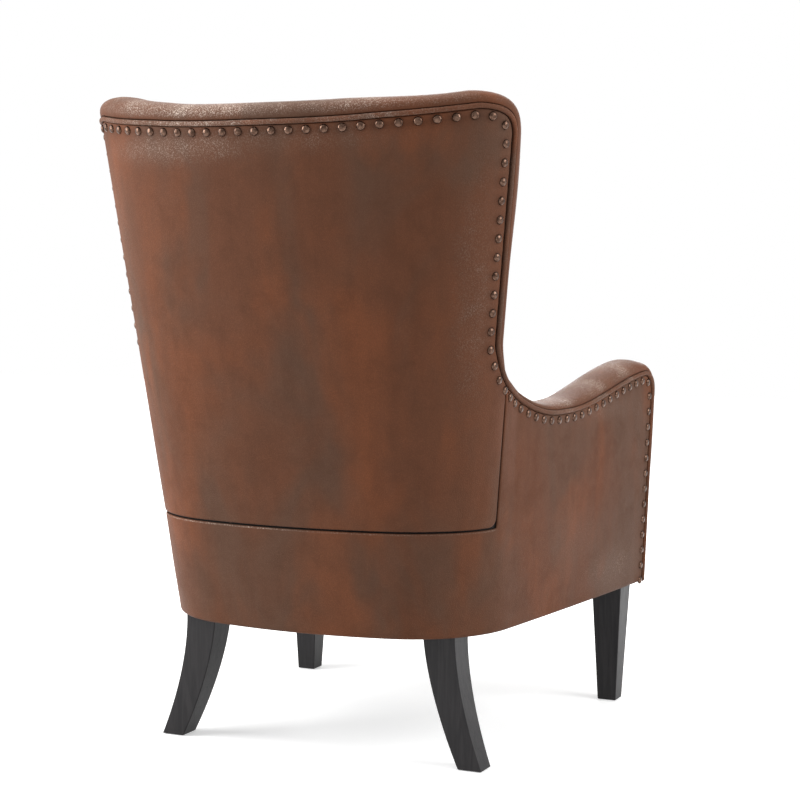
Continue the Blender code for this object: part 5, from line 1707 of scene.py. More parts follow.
@dataclass
class Arms:
    """Both arms: pads with rolled tops, piping, nails, and the cover that wraps the base."""

    shell: Shell
    joint: Joint
    trim: Trim
    finishes: Finishes
    dip_s: float = 0.485
    dip_height: float = 0.5065
    front_rise: float = 0.043
    climb: Ease = Ease(0.51, 0.31)
    rear_curve: float = 1.6
    corner: float = 0.034
    roll: float = 0.026
    front_roll: float = 0.016
    front_swell: float = 0.0086
    swell: Ease = Ease(0.34, 0.1)
    swell_end: Ease = Ease(0.0, 0.01)
    roll_change: Ease = Ease(0.008, 0.06)
    rear_roll: float = 0.012
    taper: Ease = Ease(0.0, 0.45)
    roll_depth: float = 0.03
    pad_near: float = 0.0266
    pad_depth: float = 0.088
    pad_lap: float = 0.0015
    crown: float = 0.006
    edge_round: float = 0.055
    pad_bottom: float = 0.3
    front_steps: tuple = (3, 3)
    top_steps: tuple = (3, 12, 3)
    finer: int = 6
    crook_s: float = 0.318
    foot_corner: float = 0.006
    rear_corner: float = 0.005
    rear_lead: float = 0.03
    lip_corner: float = 0.003
    post_shift: float = 0.0071
    cover_columns: int = 96
    band_columns: int = 120
    band_rows: int = 30
    gap_rows: int = 38
    sole_end: Ease = Ease(0.002, 0.012)
    gap_end: Ease = Ease(0.004, 0.012)
    gap_above: float = 0.02
    sole_inset: float = 0.009
    weld_grid: float = 1e6
    lip_band: float = 0.03
    # Painted highlight line along the lip under the back unit.
    lip_rub: float = 1.3
    lip_fold: tuple = (0.12, 0.16)
    lip_least: float = 0.35
    lip_change: Ease = Ease(-0.12, 0.2)
    # Near-black sheet in the gap under the back unit, standing for the shade there.
    lining_half: float = 0.006
    lining_depth: float = 0.003
    lining_thick: float = 0.0005
    lining_top: float = 0.559
    lining_corner: float = 0.01
    lining_steps: int = 260
    # Patches of polish and painted glints along the tops of the arms.
    top_wear: tuple = (
        Wear(-0.62, 0.55, 0.17, 0.1, 0.2),
        Wear(-0.5, 0.54, 0.04, 0.1, 0.75),
        Wear(-0.615, 0.55, 0.03, 0.1, 0.7),
        Wear(-0.72, 0.57, 0.035, 0.1, 0.6),
        Wear(0.5, 0.55, 0.1, 0.1, 0.6),
        Wear(0.72, 0.56, 0.07, 0.1, 0.6),
    )
    # Patches of polish and painted glints on the outside of the arms and the base.
    cover_wear: tuple = (
        Wear(-0.7, 0.235, 0.1, 0.035, 0.4),
        Wear(-0.56, 0.3, 0.1, 0.05, 0.22),
        Wear(-0.6, 0.5, 0.16, 0.016, 0.35),
        Wear(0.64, 0.26, 0.12, 0.05, 0.35),
        Wear(0.29, 0.25, 0.03, 0.05, 0.25),
    )

    @property
    def cover_s(self) -> float:
        """Rear end of the cover's arm along s."""
        return self.joint.gap_s + self.joint.shown / 2

    def line(self, s: Array) -> Array:
        """Height of the arm's piping before its front corner.

        Args:
            s: Places along the shell.

        Returns:
            One height for each place.
        """
        s = np.asarray(s, float)
        rear = self.dip_height + self.rear_curve * (self.dip_s - s) ** 2
        front = self.dip_height + self.front_rise * self.climb.at(s)
        return np.where(s < self.dip_s, rear, front)

    def top_run(self, start: float, end: float, steps: int, drop: float = 0.0) -> Array:
        """Points (s, z) along the arm's piping, or below it by a drop."""
        s = np.linspace(start, end, steps + 1)
        return np.stack([s, self.line(s) - drop], -1)

    def corner_arc(self, radius: float, steps: int) -> Array:
        """Front corner of an arm's outline, from its front edge to its top.

        Args:
            radius: Radius of the corner.
            steps: Steps round it.

        Returns:
            Points (s, z).
        """
        centre = self.shell.end - self.corner
        middle = np.array([centre, float(self.line(centre)) - self.corner])
        angle = np.linspace(0.0, math.pi / 2, steps + 1)
        return middle + radius * np.stack([np.cos(angle), np.sin(angle)], -1)

    def welt_pieces(self, bottom: float, rear: float) -> tuple[list[Array], list[Array]]:
        """Piping line of an arm, in pieces.

        Args:
            bottom: Height of its lower end.
            rear: Its rear end along s.

        Returns:
            The front edge and half the corner, and the rest of the corner, the top and the rear.
        """
        arc, half = self.corner_arc(self.corner, CORNER_STEPS), CORNER_STEPS // 2
        top = self.top_run(self.shell.end - self.corner, self.shell.corner_end, 2 * RUN_STEPS)
        back = self.top_run(self.shell.corner_end, rear, RUN_STEPS // 2)
        front = np.array([[self.shell.end, bottom], arc[0]])
        return [front, arc[:half + 1]], [arc[half:], top, back]

    def welt_line(self) -> Array:
        """Whole piping line of an arm, from its foot to the crook."""
        front, top = self.welt_pieces(self.shell.base + self.trim.welt_radius, self.crook_s)
        return joined(front + top)

    def thickness(self, flat: Array) -> Array:
        """Depth of the sitting side at each point (s, z)."""
        rise = (flat[:, 1] - self.pad_bottom) / (self.dip_height - self.pad_bottom)
        return self.pad_depth + self.crown * np.sin(math.pi * np.clip(rise, 0.0, 1.0))

    def rolls(self, rim: Array) -> Array:
        """Height of the roll beyond each point of the rim.

        Args:
            rim: Points (s, z).

        Returns:
            One height for each point.
        """
        s, z = rim[:, 0], rim[:, 1]
        behind = self.shell.end - s
        roll = blend(self.front_roll, self.roll, self.roll_change.at(behind))
        swell = self.swell.at(z) * (1.0 - self.swell_end.at(behind))
        taper = self.taper.at(s - self.joint.gap_s - self.joint.gap)
        return blend(self.rear_roll, roll + self.front_swell * swell, taper)

    def build_pad(self, side: Side) -> None:
        """Make one arm's padding with its rolled top and front.

        Args:
            side: Side of the chair.
        """
        rear, low = self.joint.gap_s - self.pad_lap, self.pad_bottom
        steps = self.front_steps, self.top_steps
        rim = stepped(self.welt_pieces(low, rear), steps, self.finer)
        inner = shifted(rim, -RolledPad.rim_inset)
        inner[0, 1], inner[-1, 0] = low, rear
        count_v, count_u = self.finer * sum(self.front_steps), self.finer * sum(self.top_steps)
        right, upper = inner[:count_v + 1], inner[count_v:][::-1]
        corner = np.array([rear, low])
        bottom, left = between(corner, right[0], count_u), between(corner, upper[0], count_v)
        pad = RolledPad(
            self.shell, rim, coons(bottom, right, upper, left), count_u,
            border_ids(count_u, count_v)[count_u:count_u + len(rim)], self.rolls(rim),
            np.ones_like, self.roll_depth, self.pad_near, self.thickness, self.edge_round,
        )
        pad.make(
            "arm_cushion_" + side.label, "arm_pad_" + side.label, self.finishes.rolls,
            self.top_wear, side.value,
        )

    def cover_runs(self) -> list[tuple[Array, int]]:
        """Edges of the outside cover.

        Returns:
            Runs walked anticlockwise from the front of the left sole, with their steps.
        """
        start, base, drop = self.cover_s, self.shell.base, self.joint.to_welt
        lip, edge = self.joint.seam - self.joint.shown / 2, self.shell.end - drop
        rear, lead = (self.top_run(s, s, 0, drop)[0] for s in (start, start + self.rear_lead))
        sole_end, sole_front, front = spots((start, base), (edge, base), (edge, lip))
        gap_end, middle = spots((start, lip), (0.0, lip))
        foot = fillet(sole_end, sole_front, front, self.foot_corner)
        back = fillet(lead, rear, gap_end, self.rear_corner)
        turn = fillet(rear, gap_end, middle, self.lip_corner)
        arc, half = self.corner_arc(self.corner - drop, CORNER_STEPS // 2), CORNER_STEPS // 4
        cut = len(foot) // 2
        split = np.array([turn[cut, 0] + self.post_shift, base])
        sole = np.concatenate([[split], foot[:cut + 1]])
        rise = np.concatenate([foot[cut:], arc[:half + 1]])
        long_run = self.top_run(arc[-1, 0], back[0, 0], 3 * RUN_STEPS, drop)
        top = joined([arc[half:], long_run, back[:cut + 1]])
        gap = np.concatenate([back[cut:], turn[:cut + 1]])
        band = both_halves(np.concatenate([turn[cut:], [middle]]))
        sole_band = np.array([split * MIRROR, split])
        n_a, n_m, n_g = self.cover_columns, self.band_columns, self.gap_rows
        n_f = self.band_rows + n_g
        return [
            (mirrored(sole), n_a), (sole_band, n_m), (sole, n_a), (rise, n_f), (top, n_a),
            (gap, n_g), (band, n_m), (mirrored(gap), n_g), (mirrored(top), n_a),
            (mirrored(rise), n_f),
        ]

    def cover_tuck(self, loop: Array) -> Array:
        """How far each point of the cover's edge is rolled in.

        Args:
            loop: Points (s, z) of the edge.

        Returns:
            One distance for each point.
        """
        reach, rise = np.abs(loop[:, 0]) - self.cover_s, loop[:, 1] - self.shell.base
        near_gap = (1.0 - self.gap_end.at(reach)) * (rise > self.gap_above)
        tuck = blend(self.joint.sole_tuck, self.joint.welt_tuck, self.sole_end.at(rise))
        return blend(tuck, self.joint.gap_tuck, near_gap)

    def cover_rub(self, flat: Array, fold: Array) -> Array:
        """Polish and painted glints of the cover, with a painted highlight line along the lip under
        the back.

        Args:
            flat: Points (s, z).
            fold: 1 at the edge, 0 on the flat.

        Returns:
            Strength of polish and painted glint at each point.
        """
        s, z = flat[:, 0], flat[:, 1]
        on_lip = (np.abs(s) < self.cover_s) & (z > self.joint.seam - self.lip_band) & (fold > 0)
        lip = self.lip_rub * np.exp(-((fold - self.lip_fold[0]) / self.lip_fold[1]) ** 2) * on_lip
        lip = lip * blend(self.lip_least, 1.0, self.lip_change.at(s))
        return np.maximum(lip, worn(flat, self.cover_wear))

    def build_cover(self) -> None:
        """Make the cover that wraps the base's rear band and both outside arms."""
        runs = self.cover_runs()
        loop = loop_of(runs)
        nails = self.trim.nail_places(self.welt_line())
        skin = Skin(
            self.shell, self.joint, loop, self.cover_tuck(loop),
            np.concatenate([nails, nails * MIRROR]), slack=0.0007, slack_size=0.15, slack_seed=8.0,
            slack_settle=0.07, swell_settle=0.07,
        )
        inner = skin.inset_loop()
        inner[:, 1] = np.maximum(inner[:, 1], self.shell.base + self.sole_inset)
        sole_l, sole_m, sole_r, front_r, top_r, gap_r, lip, gap_l, top_l, front_l = runs_of(
            inner, [count for _, count in runs]
        )
        post_r = between(sole_r[0], gap_r[-1], self.band_rows)
        post_l = between(sole_m[0], gap_l[0], self.band_rows)
        patches = [
            coons(sole_m, post_r, lip[::-1], post_l),
            coons(sole_r, front_r, top_r[::-1], joined([post_r, gap_r[::-1]])),
            coons(sole_l, joined([post_l, gap_l]), top_l[::-1], front_l[::-1]),
        ]
        sizes = [(len(sole_m) - 1, self.band_rows)] + 2 * [(len(sole_r) - 1, len(front_r) - 1)]
        skin.make(
            "base_outside", "outside_cover", self.finishes.outside,
            self.weld(patches, sizes, inner), self.cover_rub,
        )

    def weld(
        self, patches: list[Array], sizes: list[tuple[int, int]], inner: Array
    ) -> tuple[Array, Faces, Array]:
        """Join patches whose edges share points.

        Args:
            patches: Flat points of each patch.
            sizes: Cells along and up each patch.
            inner: Border loop whose points are among the patches' points.

        Returns:
            Points, faces, and the points along the border.
        """
        places = np.concatenate([*patches, inner])
        keys = np.round(places * self.weld_grid).astype(np.int64)
        _, first, found = np.unique(keys, axis=0, return_index=True, return_inverse=True)
        numbers = np.argsort(np.argsort(first))[found.ravel()]
        faces, start = [], 0
        for patch, (count_u, count_v) in zip(patches, sizes):
            kept = numbers[start:start + len(patch)].tolist()
            faces += [[kept[k] for k in face] for face in grid_faces(count_u, count_v)]
            start += len(patch)
        return places[np.sort(first)], faces, numbers[start:]

    def build_lining(self) -> None:
        """Make a near-black sheet behind the gap between the back unit and the base, as painted
        shade there.
        """
        gap, seam = self.joint.gap_s, self.joint.seam
        above, corner, middle = spots((gap, self.lining_top), (gap, seam), (0.0, seam))
        turn = fillet(above, corner, middle, self.lining_corner)
        line = resample(both_halves(np.concatenate([[above], turn, [middle]])), self.lining_steps)
        flat = np.concatenate([shifted(line, self.lining_half), shifted(line, -self.lining_half)])
        near = self.shell.over(flat, self.lining_depth)
        far = self.shell.over(flat, self.lining_depth + self.lining_thick)
        shape = solid_between(near, far, grid_faces(self.lining_steps, 1))
        make_piece("gap_shade_sheet", shape, self.finishes.lining)

    def build(self) -> None:
        """Make every piece of the arms."""
        line = self.welt_line()
        for side in Side:
            label, sign = side.label, side.value
            self.build_pad(side)
            self.trim.piping("arm_piping_" + label, line, sign, "arm_welt_" + label, self.top_wear)
            self.trim.nails("arm_nails_" + label, line, sign, "arm_studs_" + label)
        self.build_cover()
        self.build_lining()


@dataclass
class Seat:
    """Sprung seat: padded deck, loose cushion with piping, front border and dust cover."""

    shell: Shell
    joint: Joint
    finishes: Finishes
    back_depth: float = 0.14
    arm_depth: float = 0.098
    corner: Ease = Ease(-0.02, 0.09)
    front_inset: float = 0.006
    round_steps: int = 120
    round_passes: int = 3
    deck_bottom: float = 0.2941
    deck_top: float = 0.3231
    deck_clear: float = -0.0055
    deck_bow: float = 0.002
    deck_steps: int = 200
    deck_low: tuple = ((0.012, 0.0), (0.004, 0.0015), (0.0005, 0.006))
    deck_high: tuple = (
        (0.0005, -0.01), (0.002, -0.005), (0.006, -0.0016), (0.012, -0.0003), (0.02, 0.0)
    )
    deck_rings: int = 8
    deck_ring_step: float = 0.02
    deck_hollow: float = 0.0012
    deck_hollow_turn: float = 1.3
    deck_fill: float = 0.7
    lip_reach: float = 0.03
    lip_skin: float = 0.001
    lip_low: tuple = ((0.004, 0.001), (0.0004, 0.004), (-0.0005, 0.008))
    lip_high: tuple = (
        (-0.0005, -0.01), (0.0012, -0.0045), (0.0052, -0.001), (0.012, 0.0001), (0.018, 0.0001)
    )
    flap_cells: tuple = (60, 8)
    flap_front: float = 0.0032
    flap_back: float = 0.042
    flap_side: float = 0.03
    flap_lift: float = 0.0002
    flap_thick: float = 0.004
    flap_crown: float = 0.0006
    flap_slack: float = 0.0003
    pull_cells: tuple = (90, 8)
    pull_half: float = 0.345
    pull_low: float = 0.012
    pull_top: float = 0.3531
    pull_slope: float = 0.023
    pull_power: float = 1.5
    pull_thick: float = 0.001
    pull_slack: float = 0.0012
    cushion_bottom: float = 0.3234
    cushion_edge: float = 0.4434
    cushion_crown: float = 0.024
    cushion_clear: float = 0.009
    cushion_bow: float = 0.008
    cushion_steps: int = 180
    cushion_low: tuple = ((0.1, 0.0), (0.03, 0.0), (0.004, 0.002), (0.0, 0.008), (0.003, 0.04))
    cushion_high: tuple = (
        (0.003, -0.04), (0.0, -0.008), (0.004, 0.0), (0.03, 0.006), (0.08, 0.011), (0.14, 0.013)
    )
    cushion_fill: float = 0.8
    cushion_slack: float = 0.0015
    cushion_rub: float = 0.45
    cushion_rub_rise: float = 0.02
    seams: tuple = (0.005, -0.004)
    seam_steps: int = 400
    seam_reach: float = 0.007
    under_reach: float = 0.003
    voxel: float = 0.006
    pressure: float = 4.0
    cap: float = 0.014
    sim_frames: int = 20
    sim_quality: int = 5
    piping: float = 0.0042
    piping_steps: int = 420
    piping_seat: float = 0.45
    piping_sides: int = 10
    piping_passes: int = 2
    piping_rub: float = 0.15
    apron_cells: tuple = (120, 26)
    apron_low: float = 0.193
    apron_high: float = 0.299
    apron_back: float = 0.0039
    apron_edge: float = 0.0024
    apron_swell: float = 0.0096
    apron_round: float = 0.016
    apron_slack: float = 0.0006
    apron_crease: float = 0.004
    apron_crease_dark: float = 0.7
    apron_rub: float = 0.06
    apron_fill: float = 0.7
    dust_cell: float = 0.02
    dust_lift: float = 0.0004
    dust_sag: float = 0.0022
    dust_sag_reach: float = 0.16

    def depth_at(self, s: Array) -> Array:
        """Depth of the upholstery behind and beside the seat."""
        aside = self.corner.at(np.abs(s) - self.joint.gap_s)
        return blend(self.back_depth, self.arm_depth, aside)

    def outline(self, height: float, inset: float, bow: float, count: int) -> Array:
        """Plan of the seat between the arms, the back and the front line.

        Args:
            height: Height that the plan is taken at.
            inset: How far it stays inside the upholstery.
            bow: How far the front bows out.
            count: Steps round the whole plan.

        Returns:
            Points (x, y), anticlockwise from the right front corner.
        """
        reach, front = self.shell.end - self.front_inset, self.shell.front[1]
        s = np.linspace(-reach, reach, self.round_steps + 1)
        inside = self.shell.at(s, height, self.depth_at(s) + inset)[:, :2]
        t = np.linspace(0.0, 1.0, RUN_STEPS + 1)
        across_x = blend(inside[-1, 0], inside[0, 0], t)
        across = np.stack([across_x, front - bow * 4 * t * (1 - t)], -1)
        line = resample(closed(np.concatenate([inside[1:-1], across])), count)[:-1]
        for _ in range(self.round_passes):
            line = (np.roll(line, 1, axis=0) + 2 * line + np.roll(line, -1, axis=0)) / 4
        return line

    def ring(self, plan: Array, centre: Array, draw: float, height: float) -> Array:
        """Points of a plan drawn towards a centre by a distance, at a height.

        Args:
            plan: Points (x, y).
            centre: Point (x, y).
            draw: Distance.
            height: Height.

        Returns:
            Points in space.
        """
        away = plan - centre
        share = 1.0 - draw / np.linalg.norm(away, axis=1, keepdims=True)
        return np.column_stack([centre + away * share, np.full(len(plan), height)])

    def rings(self, plan: Array, levels: Sequence[tuple[float, float]]) -> list[Array]:
        """Rings of a plan, one for each (draw, height)."""
        return [self.ring(plan, plan.mean(axis=0), *level) for level in levels]

    def levels(self, low_rings: tuple, high_rings: tuple, low: float, high: float) -> list[tuple]:
        """Levels (draw, height) from rings given above a low and a high edge."""
        below = [(draw, low + rise) for draw, rise in low_rings]
        return below + [(draw, high + rise) for draw, rise in high_rings]

    def deck_plan(self) -> Array:
        """Plan of the deck."""
        return self.outline(self.deck_top, self.deck_clear, self.deck_bow, self.deck_steps)

    def build_deck(self) -> None:
        """Make the padded deck that the cushion lies on."""
        levels = self.levels(self.deck_low, self.deck_high, self.deck_bottom, self.deck_top)
        for k in range(1, self.deck_rings + 1):
            hollow = self.deck_hollow * math.sin(self.deck_hollow_turn * k) ** 2
            levels.append((self.deck_high[-1][0] + self.deck_ring_step * k, self.deck_top - hollow))
        make_piece(
            "seat_deck_pad", ringed(self.rings(self.deck_plan(), levels)), self.finishes.deck,
            ["seat_deck"],
        )

    def build_lip(self) -> None:
        """Make the hide strip that wraps the deck's front edge."""
        plan = self.deck_plan()
        centre, start = plan.mean(axis=0), -int(np.argmax(plan[:, 1]))
        strip = np.roll(plan, start, axis=0)
        strip = strip[strip[:, 1] < self.shell.front[1] + self.lip_reach]
        levels = self.levels(self.lip_low, self.lip_high, self.deck_bottom, self.deck_top)
        sheets = []
        for sink in (0.0, self.lip_skin):
            rows = [self.ring(strip, centre, draw + sink, high - sink) for draw, high in levels]
            sheets.append(np.concatenate(rows))
        shape = solid_between(*sheets, grid_faces(len(strip) - 1, len(levels) - 1))
        make_piece("seat_lip", shape, self.finishes.seat)

    def build_flap(self) -> None:
        """Make the hide flap that covers the top of the front rail."""
        fx, fy = grid_shares(*self.flap_cells)
        x = (self.shell.front[0] - self.flap_side) * (2 * fx - 1)
        y = self.shell.front[1] - self.flap_front + (self.flap_front + self.flap_back) * fy
        slack = self.flap_slack * ripple(np.stack([x, y, 0 * x], -1), size=0.05, seed=4.0)
        top = self.deck_bottom + self.flap_thick + self.flap_crown * np.sin(math.pi * fy) + slack
        near = np.stack([x, y, np.full(len(x), self.deck_bottom + self.flap_lift)], -1)
        shape = solid_between(near, np.stack([x, y, top], -1), grid_faces(*self.flap_cells))
        make_piece("rail_flap", shape, self.finishes.seat)

    def build_pull(self) -> None:
        """Make the cloth pulled from behind the deck to the foot of the back pad."""
        fs, rise = grid_shares(*self.pull_cells)
        s, low = self.pull_half * (2 * fs - 1), self.deck_top - self.pull_low
        z = blend(low, self.pull_top, rise)
        slack = self.pull_slack * ripple(np.stack([s, 0 * s, z], -1), size=0.045, seed=6.0)
        far = self.depth_at(s) + self.deck_clear - self.pull_thick
        far = far - self.pull_slope * rise ** self.pull_power + slack * np.sin(math.pi * rise)
        near, far = (self.shell.at(s, z, depth) for depth in (far - self.pull_thick, far))
        shape = solid_between(near, far, grid_faces(*self.pull_cells))
        make_piece("deck_pull", shape, self.finishes.deck)

    def build_cushion(self) -> None:
        """Make the loose cushion by filling a boxed cover with pressure, then pipe its edges."""
        low, top = self.cushion_bottom, self.cushion_edge
        plan = self.outline(low, self.cushion_clear, self.cushion_bow, self.cushion_steps)
        levels = self.levels(self.cushion_low, self.cushion_high, low, top)
        piece = make_piece(
            "seat_cushion_cover", ringed(self.rings(plan, levels)), self.finishes.seat,
            ["seat_cushion"], Body.CUSHION,
        )
        heights = low + self.seams[0], top + self.seams[1]
        edges = [closed(np.column_stack([plan, np.full(len(plan), high)])) for high in heights]
        self.remesh(piece)
        self.inflate(piece, edges)
        self.finish_cushion(piece)
        self.build_cushion_piping(piece, edges)

    def remesh(self, piece: Piece) -> None:
        """Give the cover even small faces.

        Args:
            piece: The cover.
        """
        step = piece.modifiers.new("even_faces", "REMESH")
        step.mode = "VOXEL"
        step.voxel_size = self.voxel
        graph = bpy.context.evaluated_depsgraph_get()
        mesh = bpy.data.meshes.new_from_object(piece.evaluated_get(graph))
        piece.modifiers.clear()
        old, piece.data = piece.data, mesh
        bpy.data.meshes.remove(old)

    def coordinates(self, mesh: bpy.types.Mesh) -> Array:
        """Points of a mesh as an array.

        Args:
            mesh: The mesh.

        Returns:
            Points, one row each.
        """
        points = np.empty(len(mesh.vertices) * 3)
        mesh.vertices.foreach_get("co", points)
        return points.reshape(-1, 3)

    def pin_seams(self, piece: Piece, edges: list[Array]) -> bpy.types.VertexGroup:
        """Mark the points that stay: those along the seams and those underneath.

        Args:
            piece: The remeshed cover.
            edges: Seam lines of the cover.

        Returns:
            The group of marked points.
        """
        rest = self.coordinates(piece.data)
        away = np.full(len(rest), np.inf)
        for edge in edges:
            for point in resample(edge, self.seam_steps):
                away = np.minimum(away, np.linalg.norm(rest - point, axis=1))
        under = rest[:, 2] < self.cushion_bottom + self.under_reach
        pins = piece.vertex_groups.new(name="seams")
        pins.add(np.nonzero((away < self.seam_reach) | under)[0].tolist(), 1.0, "REPLACE")
        return pins

    def inflate(self, piece: Piece, edges: list[Array]) -> None:
        """Swell the cover with pressure while its seams hold, and cap the movement.

        Args:
            piece: The remeshed cover.
            edges: Seam lines of the cover.
        """
        rest, scene = self.coordinates(piece.data), bpy.context.scene
        pins = self.pin_seams(piece, edges)
        cloth = piece.modifiers.new("filling", "CLOTH")
        cloth.settings.vertex_group_mass = pins.name
        cloth.settings.use_pressure = True
        cloth.settings.uniform_pressure_force = self.pressure
        cloth.settings.effector_weights.gravity = 0.0
        cloth.settings.quality = self.sim_quality
        cloth.point_cache.frame_end = self.sim_frames
        for number in range(1, self.sim_frames + 1):
            scene.frame_set(number)
        graph = bpy.context.evaluated_depsgraph_get()
        step = self.coordinates(piece.evaluated_get(graph).data) - rest
        scene.frame_set(1)
        piece.modifiers.clear()
        piece.vertex_groups.clear()
        length = np.maximum(np.linalg.norm(step, axis=1, keepdims=True), TINY)
        moved = rest + step * np.minimum(1.0, self.cap / length)
        piece.data.vertices.foreach_set("co", moved.ravel())
        piece.data.update()

    def finish_cushion(self, piece: Piece) -> None:
        """Flatten the cushion's underside, smooth it and mark where its top is polished and glints
        are painted.

        Args:
            piece: The filled cover.
        """
        points = self.coordinates(piece.data)
        z = np.maximum(points[:, 2], self.cushion_bottom)
        points[:, 2] = z
        slack = self.cushion_slack * ripple(points, size=0.07, seed=5.0)
        z = z + np.where(z > self.cushion_edge, slack, 0.0)
        points[:, 2] = np.minimum(z, self.cushion_edge + self.cushion_crown)
        piece.data.vertices.foreach_set("co", points.ravel())
        # Painted glints in patches over the top of the cushion.
        patches = 0.5 + 0.5 * ripple(points, size=0.11, seed=2.0)
        on_top = smoothstep((points[:, 2] - self.cushion_edge) / self.cushion_rub_rise)
        layer = piece.data.attributes.new("rub", "FLOAT", "POINT")
        layer.data.foreach_set("value", (self.cushion_rub * patches * on_top).astype(np.float32))
        piece.data.shade_smooth()
        smooth = piece.modifiers.new("smooth", "SUBSURF")
        smooth.levels = smooth.render_levels = 1

    def build_cushion_piping(self, piece: Piece, edges: list[Array]) -> None:
        """Lay piping along the cushion's seams.

        Args:
            piece: The filled cushion.
            edges: Seam lines of its cover.
        """
        tree = BVHTree.FromObject(piece, bpy.context.evaluated_depsgraph_get())
        least = {"lower": self.cushion_bottom + self.piping, "upper": 0.0}
        for (label, low), edge in zip(least.items(), edges):
            spots = []
            for point in resample(edge, self.piping_steps):
                hit, normal, _, _ = tree.find_nearest(Vector(point))
                spots.append(np.array(hit + normal * self.piping * self.piping_seat))
            spots = np.array(spots)
            for _ in range(self.piping_passes):
                spots[1:-1] = (spots[:-2] + 2 * spots[1:-1] + spots[2:]) / 4
            spots[:, 2] = np.maximum(spots[:, 2], low)
            shape = tube(spots, self.piping, self.piping_sides)
            count = len(shape[0])
            # Faint painted glints along the cushion's piping.
            make_piece(
                "cushion_piping_" + label, shape, self.finishes.piping,
                body=Body.CUSHION,
                masks={"rub": np.full(count, self.piping_rub), "crease": np.zeros(count)},
            )

    def build_apron(self) -> None:
        """Make the padded border across the front."""
        fx, fz = (0.5 - 0.5 * np.cos(math.pi * share) for share in grid_shares(*self.apron_cells))
        z = blend(self.apron_low, self.apron_high, fz)
        half = self.shell.front[0] + self.shell.side_lean * (z - self.shell.base)
        x, back = half * (2 * fx - 1), self.shell.front[1] - self.apron_back
        edge = np.minimum.reduce([half - np.abs(x), z - self.apron_low, self.apron_high - z])
        swell = quarter(edge / self.apron_round)
        near = np.stack([x, np.full(len(x), back), z], -1)
        slack = self.apron_slack * ripple(near, size=0.06, seed=2.0)
        front = back - self.apron_edge + (slack - self.apron_swell) * swell
        shape = solid_between(near, np.stack([x, front, z], -1), grid_faces(*self.apron_cells))
        # Painted shade along the border's edges, and painted glints on its rounded swell.
        crease = self.apron_crease_dark * (1.0 - smoothstep(edge / self.apron_crease))
        masks = {"rub": np.tile(self.apron_rub * swell, 2), "crease": np.tile(crease, 2)}
        make_piece(
            "front_border", shape, self.finishes.outside, ["front_apron"], masks=masks,
        )

    def build_dust_cover(self) -> None:
        """Make the thin cloth stapled under the frame, cut like its node and sagging a little."""
        low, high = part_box("dust_cover")
        work = bmesh.new()
        work.from_mesh(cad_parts["dust_cover"].data)
        upper = [face for face in work.faces if face.normal.z > FACES_DOWN]
        bmesh.ops.delete(work, geom=upper, context="FACES")
        bmesh.ops.remove_doubles(work, verts=work.verts[:], dist=WELD_DISTANCE)
        for axis in (0, 1):
            spot, normal = Vector(low), Vector((0.0, 0.0, 0.0))
            normal[axis] = 1.0
            count = round((high[axis] - low[axis]) / self.dust_cell)
            for k in range(1, count):
                spot[axis] = low[axis] + (high[axis] - low[axis]) * k / count
                geometry = work.verts[:] + work.edges[:] + work.faces[:]
                bmesh.ops.bisect_plane(work, geom=geometry, plane_co=spot, plane_no=normal)
        rim = [vert.co.copy() for vert in work.verts if vert.is_boundary]
        for vert in work.verts:
            away = min((vert.co - spot).length for spot in rim) / self.dust_sag_reach
            vert.co.z = low.z + self.dust_lift - self.dust_sag * float(smoothstep(away))
        work.verts.index_update()
        area = sum(face.calc_area() for face in work.faces)
        points = np.array([vert.co[:] for vert in work.verts])
        faces = [[vert.index for vert in face.verts] for face in work.faces]
        work.free()
        piece = make_piece(
            "dust_cloth_sheet", (points, faces), self.finishes.lining, ["dust_cover"],
            solid=False,
        )

    def build(self) -> None:
        """Make every piece of the seat."""
        self.build_deck()
        self.build_lip()
        self.build_flap()
        self.build_pull()
        self.build_apron()
        self.build_dust_cover()
        self.build_cushion()


@dataclass
class Leg:
    """Square leg that tapers to its foot, straight or sabre-curved, hollowed round its glide."""

    name: str
    foot: Array
    top: Array
    foot_half: float
    power: float
    top_half: float = 0.0255
    low: float = 0.001
    high: float = 0.1962
    recess: float = 0.0033
    recess_half: float = 0.0131
    steps: int = 30
    edge: float = 0.0022
    edge_angle: float = math.radians(50.0)

    def square(self, centre: Array, half: float, z: float) -> Array:
        """Square ring of points about a centre."""
        corners = half * np.array([(-1, -1), (1, -1), (1, 1), (-1, 1)])
        return np.column_stack([centre + corners, np.full(4, z)])

    def build(self, material: Material) -> None:
        """Make the leg with eased edges.

        Args:
            material: Finish.
        """
        recess = self.low + self.recess, self.low
        rings = [self.square(self.foot, self.recess_half, z) for z in recess]
        for t in np.linspace(0.0, 1.0, self.steps + 1):
            centre = blend(self.top, self.foot, (1.0 - t) ** self.power)
            half = blend(self.foot_half, self.top_half, t)
            rings.append(self.square(centre, half, blend(self.low, self.high, t)))
        piece = make_piece("shaped_" + self.name, ringed(rings), material, [self.name])
        ease = piece.modifiers.new("eased_edges", "BEVEL")
        ease.width = self.edge
        ease.segments = 3
        ease.limit_method = "ANGLE"
        ease.angle_limit = self.edge_angle
        ease.harden_normals = True


